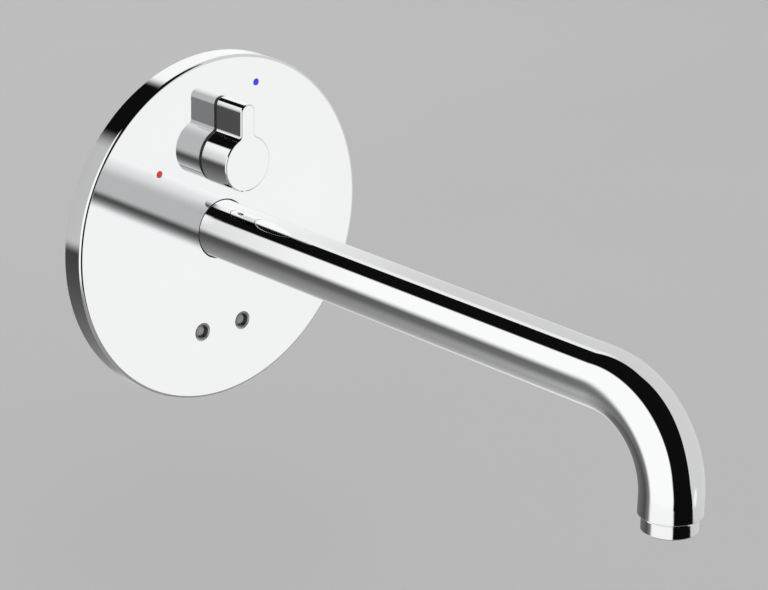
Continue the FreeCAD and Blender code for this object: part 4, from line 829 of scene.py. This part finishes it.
def keyhole():
    """Outline of the knob's front with its outward normals, as (x, z) about its axis.

    It is made of arcs: centre + radius * (cos, sin). The disc's arc meets a small concave
    arc at each root of the lever, whose centre lies at disc radius + root radius.
    """
    root_up = math.sqrt((KNOB_RADIUS + LEVER_ROOT) ** 2 - (LEVER_HALF + LEVER_ROOT) ** 2)
    lean = math.atan2(root_up, LEVER_HALF + LEVER_ROOT)
    tip = LEVER_HALF - LEVER_ROUND
    high = LEVER_TIP - LEVER_ROUND
    quarter = math.pi / 2
    arcs = [
        ((LEVER_HALF + LEVER_ROOT, root_up), LEVER_ROOT, math.pi + lean, math.pi, -1, ROOT_STEPS),
        ((tip, high), LEVER_ROUND, 0, quarter, 1, TIP_STEPS),
        ((-tip, high), LEVER_ROUND, quarter, math.pi, 1, TIP_STEPS),
        ((-LEVER_HALF - LEVER_ROOT, root_up), LEVER_ROOT, 0, -lean, -1, ROOT_STEPS),
        ((0, 0), KNOB_RADIUS, math.pi - lean, 2 * math.pi + lean, 1, DISC_STEPS),
    ]
    points = []
    normals = []
    for centre, radius, start, end, way, steps in arcs:
        angle = np.linspace(start, end, steps)
        round_way = np.column_stack([np.cos(angle), np.sin(angle)])
        spots = np.array(centre) + radius * round_way
        outwards = way * round_way
        if radius < KNOB_RADIUS:
            # One more point just past each end keeps the lever's flat sides true
            first = spots[0] - unit(spots[1] - spots[0]) * HOLD
            last = spots[-1] + unit(spots[-1] - spots[-2]) * HOLD
            spots = np.vstack([first, spots, last])
            outwards = np.vstack([outwards[0], outwards, outwards[-1]])
        points.append(spots)
        normals.append(outwards)
    return np.vstack(points), np.vstack(normals)


def drill(thing, tool):
    """Cut a closed surface (points, faces) out of a piece, and shade it again."""
    mesh = bpy.data.meshes.new("drill")
    mesh.from_pydata(tool[0] * MM, [], tool[1])
    cutter = bpy.data.objects.new("drill", mesh)
    bpy.context.scene.collection.objects.link(cutter)
    cut = thing.modifiers.new("drill", "BOOLEAN")
    cut.operation = "DIFFERENCE"
    cut.object = cutter
    solid = thing.evaluated_get(bpy.context.evaluated_depsgraph_get())
    drilled = bpy.data.meshes.new_from_object(solid)
    thing.modifiers.clear()
    thing.data = drilled
    drilled.set_sharp_from_angle(angle=SHARP_ANGLE)
    bpy.data.objects.remove(cutter)


def make_knob():
    """Knob: the keyhole outline, moved in along its normals as its edge outline (inset,
    depth) says, closed by a flat front and by a back with the stem's bore. The grub screw's
    hole goes in from below."""
    spots, normals = keyhole()
    edge = eased([
        (KNOB_FLAT, KNOB_BACK, 0),
        (0, KNOB_BACK, FINE_EDGE),
        (0, KNOB_FRONT + KNOB_CHAMFER, KNOB_SIDE_ROUND),
        (KNOB_CHAMFER, KNOB_FRONT, KNOB_FRONT_ROUND),
        (KNOB_FLAT, KNOB_FRONT, 0),
    ])[1:-1]
    inset = edge[:, 0, None, None]
    flat = spots[None] - inset * normals[None]
    depth = np.broadcast_to(edge[:, 1, None, None], (*flat.shape[:2], 1))
    points = np.concatenate([flat[..., :1], depth, flat[..., 1:] + KNOB_HEIGHT], axis=-1)
    lift = np.array([0, KNOB_HEIGHT])
    bore = eased([
        (KNOB_BACK, KNOB_BORE + KNOB_FLAT, 0),
        (KNOB_BACK, KNOB_BORE, FINE_EDGE),
        (KNOB_BACK - KNOB_BORE_DEPTH, KNOB_BORE, SOFT_EDGE),
        (KNOB_BACK - KNOB_BORE_DEPTH, 0, 0),
    ])
    axis = (0, 0, KNOB_HEIGHT)
    surfaces = [
        (points.reshape(-1, 3), grid_faces(len(edge), len(spots), False)),
        turned(bore[1:], centre=axis, closed=False),
        flat_face(KNOB_BACK, [flat[0] + lift, ring_at(bore[1], axis)]),
        flat_face(KNOB_FRONT, [flat[-1] + lift]),
    ]
    knob = piece("polished_knob", surfaces, FINISHES["chrome"], "knob", "turning_knob")
    hole = reach("knob_grub_screw", "x", True) + GRUB_GAP
    low = KNOB_HEIGHT - KNOB_RADIUS - DRILL_PAST
    high = KNOB_HEIGHT - KNOB_BORE + DRILL_PAST
    middle = (reach("knob_grub_screw", "y", True) + reach("knob_grub_screw", "y", False)) / 2
    outline = [(low, 0), (low, hole), (high, hole), (high, 0)]
    drill(knob, turned(outline, "z", (0, middle, 0), closed=False, steps=DRILL_STEPS))


# Sensor windows

def make_windows():
    """Each window: a thin bezel in the plate's hole, and a lens sunk in it. The lens's face
    falls by the bulge * share squared towards its edge, and a groove runs round it."""
    for side in ("left", "right"):
        bezel = f"{side}_sensor_bezel"
        lens = f"{side}_sensor_lens"
        low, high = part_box(bezel)
        middle = (low + high) / 2 / MM
        centre = (middle.x, 0, middle.z)
        outside = SENSOR_HOLE - BEZEL_GAP
        bore = outside - BEZEL_WALL
        flange = (high.x - low.x) / 2 / MM
        front = low.y / MM
        back = high.y / MM
        inner = PLATE_FRONT + PLATE_WALL
        outline = eased([
            (front, bore, FINE_EDGE), (front, outside, FINE_EDGE), (inner, outside, 0),
            (inner, flange, FINE_EDGE), (back, flange, FINE_EDGE), (back, bore, FINE_EDGE),
        ])
        piece(f"{side}_bezel", [turned(outline, centre=centre)], BEZEL_RING, bezel)
        face = reach(lens, "y", False)
        rear = reach(lens, "y", True)
        edge = bore - BEZEL_GAP
        share = np.linspace(0, 1, LENS_STEPS)
        dome = np.column_stack([face + LENS_BULGE * share ** 2, LENS_FACE * share])
        groove = eased([
            (face + LENS_BULGE, LENS_FACE, FINE_EDGE),
            (face + LENS_GROOVE, LENS_FACE + LENS_DRAFT, 0),
            (face + LENS_GROOVE, edge, 0),
            (rear, edge, FINE_EDGE),
            (rear, 0, 0),
        ])
        rows = np.vstack([dome[:-1], groove[1:]])
        piece(f"{side}_lens", [turned(rows, centre=centre, closed=False)],
              FINISHES["sensor_lens"], lens)


# Springs

def make_springs():
    """Each spring that a joint deforms becomes a coil merged from its node, in stainless steel."""
    for joint in frame["record"]["behaviour"]["joints"]:
        for part in joint.get("deforming_nodes", []):
            node = part["node"]
            if not node.endswith("spring"):
                continue
            mesh = merged_copy(node)
            coil = dressed(node.replace("spring", "coil"), mesh, FINISHES["steel"], node, "root")
            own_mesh(coil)


def merged_copy(node):
    """The mesh of a node with its loose triangles joined, and no material yet."""
    mesh = frame["nodes"][node].data.copy()
    mesh.materials.clear()
    work = bmesh.new()
    work.from_mesh(mesh)
    bmesh.ops.remove_doubles(work, verts=work.verts, dist=MERGE)
    work.to_mesh(mesh)
    work.free()
    return mesh


make_plate()
make_dots()
make_spout()
make_slide_ring()
make_outlet_collar()
make_knob()
make_windows()
make_springs()


# Studio

# What the camera sees of the room, what dull surfaces see of it, and the card
PALE = 0.50
SOFT_WHITE = 0.86
CARD_BLACK = 0.004
# A side that runs along Y keeps the view's y in what it mirrors: the spout's stays below the
# first pair, the knob's is above it, and the rim's is above the second
KNOB_VIEW = (0.7284, 0.7290)
RIM_VIEW = (0.738, 0.750)
# The heights that the spout's straight end and the collar mirror, from high to low
END_VIEW = (-0.4103, -0.4250)
# Brightness of the ground behind and below, from left to right
GROUND_TONES = ((-0.75, 0.06), (-0.60, 0.075), (-0.50, 0.10), (-0.40, 0.12), (-0.20, 0.16),
                (0.0, 0.185), (0.20, 0.22), (0.33, 0.27), (0.49, 0.55), (0.62, 0.75), (0.75, 1.0))
# Direction of the middle of the bright spot at the card's lower right
SPOT = (0.606, -0.725, -0.327)


def make_world():
    """Light tent with a dark card, as polished metal shows it.

    The shader reads the direction (x right, y into the wall, z up). A black card hangs over
    the middle, between a bright left wall and a greyer right wall, and the ground behind
    and below is grey. What a mirror shows of other mirrors is lit by a softer tent, but what
    the knob shows of itself isn't. The camera sees a plain pale room, and dull surfaces
    soft white.
    """
    world = bpy.data.worlds.new("studio")
    world.use_nodes = True
    web = Web(world.node_tree)
    direction = web.node("ShaderNodeTexCoord", output="Generated")
    right, back, up = web.parts(direction)
    rays = web.node("ShaderNodeLightPath", output="Is Camera Ray")
    shiny = rays.sibling("Is Glossy Ray").most(rays.sibling("Is Transmission Ray"))
    depth = rays.sibling("Glossy Depth")
    again = depth.ramp(1.2, 1.8) * (1 - back.ramp(*KNOB_VIEW))
    tone = (tent(right, back, up, direction) * (1 - again)
            + soft_tent(right, back, up, depth.ramp(2.2, 2.8)) * again)
    studio = web.node("ShaderNodeCombineColor", {}, {0: tone, 1: tone, 2: tone})
    seen = web.blend(shiny, (SOFT_WHITE, SOFT_WHITE, SOFT_WHITE), studio)
    seen = web.blend(rays, seen, (PALE, PALE, PALE))
    shade = web.node("ShaderNodeBackground", {}, {"Color": seen, "Strength": 1.0})
    web.end_in("ShaderNodeOutputWorld", shade)
    bpy.context.scene.world = world


def tent(right, back, up, direction):
    """Brightness of the studio in a direction: the walls, with the ground, the card and the
    spot laid over them in turn. Its numbers are fitted to the stripes in the photograph."""
    knob = back.ramp(*KNOB_VIEW)
    rim = back.ramp(*RIM_VIEW)
    card, card_right = hung_card(right, back, up, knob, rim)
    left_wall = (1.08 - back.ramp(0.68, 0.79) * 0.65
                 + knob * (1 - rim) * (up.ramp(0.05, 0.5) * 0.30 - 0.06))
    # A bright strip of the right wall runs along the card
    strip = (right - card_right).ramp(0.24, 0.10) * back.ramp(0.3, 0.6) * 0.26
    right_wall = 0.70 + back.ramp(0.66, 0.735) * 0.34 + strip * (1 - back.ramp(0.66, 0.72))
    side = right.ramp(-0.3, 0.3)
    walls = left_wall * (1 - side) + right_wall * side
    # Both walls end in a dark foot
    foot = up.ramp(-0.38, -0.60)
    walls = walls * (1 - foot) + foot * 0.30
    # The ground ends towards the user, at the far left, and at the right where the bend sees
    # it. Its grey brightens away from the wall, most at the left, and towards the bottom.
    ground = (((up + rim * 0.125 + 0.09) / (0.15 - rim * 0.10)).ramp(1, -1)
              * back.ramp(0.35, 0.6) * (right / back.most(0.02)).ramp(-2.0, -1.1)
              * (1 - right.ramp(0.2, 0.3) * back.ramp(0.62, 0.54)))
    growth = right.ramp(-0.1, -0.5) * 10 + 4 - right.ramp(0.4, 0.66) * 6
    nearness = (0.74 - back).most(0).least(0.15) * growth + 1
    depth = (-0.42 - up).most(0) * (1.6 - knob * 1.3) + 1
    grey = right.through(GROUND_TONES) * nearness * depth * (1 - rim * 0.25)
    tone = walls * (1 - ground) + grey * ground
    tone = tone * (1 - card) + card * CARD_BLACK
    spot_away = right.web.node(
        "ShaderNodeVectorMath", {"operation": "DISTANCE"}, {0: direction, 1: SPOT}, output="Value")
    spot = spot_away.ramp(0.16, 0.07) * up.ramp(-0.420, -0.384)
    return tone * (1 - spot) + spot


def hung_card(right, back, up, knob, rim):
    """How far a direction meets the black card, and where the card's right edge is. Both edges
    bow with the direction's depth, and lie further right low down."""
    end = up.ramp(*END_VIEW)
    shift = up.ramp(-0.08, -0.46) * 0.07 + end * 0.087
    card_left = back * 0.14 + back * back.most(0) * 0.06 - 0.56 + knob * 0.05 + shift
    card_right = (back * 0.04 - back.least(0) * 0.54 - back * back * 0.57 + 0.355
                  + knob * 0.24 - rim * 0.115 + shift + end * 0.043)
    blur = rim * 0.04
    card = (((right - card_left) / (blur + 0.03)).ramp(-1, 1)
            * ((card_right - right) / (blur + 0.012)).ramp(-1, 1)
            * up.ramp(-0.5, -0.46) * back.ramp(0.02, -0.02).most(up.ramp(0.26, 0.32)))
    return card, card_right


def soft_tent(right, back, up, deeper):
    """Brightness of the studio for a mirror seen in a mirror.

    Towards the user it is walls over a ground that darkens to the left, and into the wall it
    is white but for the left. The knob's image in the spout and the seam above the collar
    get the tones of what lies round them.
    """
    above = right.ramp(-0.4, 0.3) * 0.34 + right.ramp(0.2, 0.75) * 0.18 + 0.58
    below = right.ramp(-0.60, 0.28) * 0.98 + 0.07
    low = up.ramp(-0.05, -0.39)
    front = above * (1 - low) + below * low
    knob = back.ramp(-0.7275, -0.7265) * back.ramp(-0.695, -0.705) * up.ramp(0.45, 0.55)
    front = front * (1 - knob) + right.ramp(0.045, 0.14) * 1.2 * knob
    behind = right.ramp(-0.56, -0.22) * up.ramp(0.5, 0.35) * 1.2
    rear = back.ramp(-0.05, 0.05)
    tone = front * (1 - rear) + behind.most(deeper) * rear
    seam = up.ramp(-0.72, -0.78).most(up.ramp(-0.43, -0.48) * abs(back).ramp(0.66, 0.6))
    left_stripe = right.ramp(-0.15, -0.25) * (right.ramp(-0.56, -0.48) * 0.9 + 0.1)
    right_stripe = right.ramp(0.48, 0.58) * 0.67
    return tone * (1 - seam) + (left_stripe + right_stripe) * seam


# Floor: its height and half its width
FLOOR_LEVEL = -300.0
FLOOR_HALF = 6000.0


def make_floor():
    """Plain pale floor well below the mixer."""
    half = FLOOR_HALF * MM
    mesh = bpy.data.meshes.new("floor")
    level = FLOOR_LEVEL * MM
    mesh.from_pydata([(-half, -half, level), (half, -half, level), (half, half, level),
                      (-half, half, level)], [], [(0, 1, 2, 3)])
    mesh.materials.append(finish("pale_floor", pale_paint))
    floor = bpy.data.objects.new("floor", mesh)
    bpy.context.scene.collection.objects.link(floor)
    floor.visible_glossy = False


def pale_paint(web):
    """Matt pale paint, slightly clouded."""
    clouds = web.noise(400)
    return {
        "Base Color": web.blend(clouds, (0.46, 0.46, 0.46), (0.48, 0.48, 0.48)),
        "Roughness": 0.9,
    }


# Lamps: size in metres, power in watts, place, and the point that they face
LAMPS = (
    ("key_lamp", 1.2, 14.0, (-1.2, -1.6, 1.8), (0, -0.1, 0)),
    ("back_lamp", 1.2, 8.0, (1.0, 1.8, 1.4), (0, 0.05, 0)),
)


def make_lamp(name, size, power, place, target):
    """Soft square lamp that dull surfaces see and mirrors don't."""
    light = bpy.data.lights.new(name, "AREA")
    light.size = size
    light.energy = power
    lamp = bpy.data.objects.new(name, light)
    lamp.location = place
    lamp.rotation_euler = (Vector(target) - Vector(place)).to_track_quat("-Z", "Y").to_euler()
    lamp.visible_glossy = False
    bpy.context.scene.collection.objects.link(lamp)


# Camera at the photograph's place: where it looks, how far away, and its field, in
# millimetres, degrees and pixels

CAMERA_TARGET = (5.57, -119.1, -4.62)
CAMERA_DISTANCE = 1283.3
CAMERA_AZIMUTH = -43.371
CAMERA_ELEVATION = 20.386
CAMERA_ROLL = 1.164
FOCAL_PIXELS = 2823.1
FRAME_WIDTH = 768
SENSOR_WIDTH = 36.0
NEAREST = 50.0
FURTHEST = 50000.0


def make_camera():
    """Camera whose axes are turned by azimuth, elevation and roll about its target."""
    azimuth = math.radians(CAMERA_AZIMUTH)
    elevation = math.radians(CAMERA_ELEVATION)
    roll = math.radians(CAMERA_ROLL)
    back = Vector((math.sin(azimuth) * math.cos(elevation),
                   -math.cos(azimuth) * math.cos(elevation), math.sin(elevation)))
    level = Vector((math.cos(azimuth), math.sin(azimuth), 0))
    upright = back.cross(level)
    right = level * math.cos(roll) + upright * math.sin(roll)
    up = upright * math.cos(roll) - level * math.sin(roll)
    place = (Vector(CAMERA_TARGET) + back * CAMERA_DISTANCE) * MM
    lens = bpy.data.cameras.new("camera")
    lens.sensor_fit = "HORIZONTAL"
    lens.sensor_width = SENSOR_WIDTH
    lens.lens = FOCAL_PIXELS * SENSOR_WIDTH / FRAME_WIDTH
    lens.clip_start = NEAREST * MM
    lens.clip_end = FURTHEST * MM
    camera = bpy.data.objects.new("camera", lens)
    axes = Matrix((right, up, back)).transposed().to_4x4()
    camera.matrix_world = Matrix.Translation(place) @ axes
    bpy.context.scene.collection.objects.link(camera)
    bpy.context.scene.camera = camera


make_world()
make_floor()
for lamp in LAMPS:
    make_lamp(*lamp)
make_camera()
bpy.context.scene.view_settings.view_transform = "Standard"
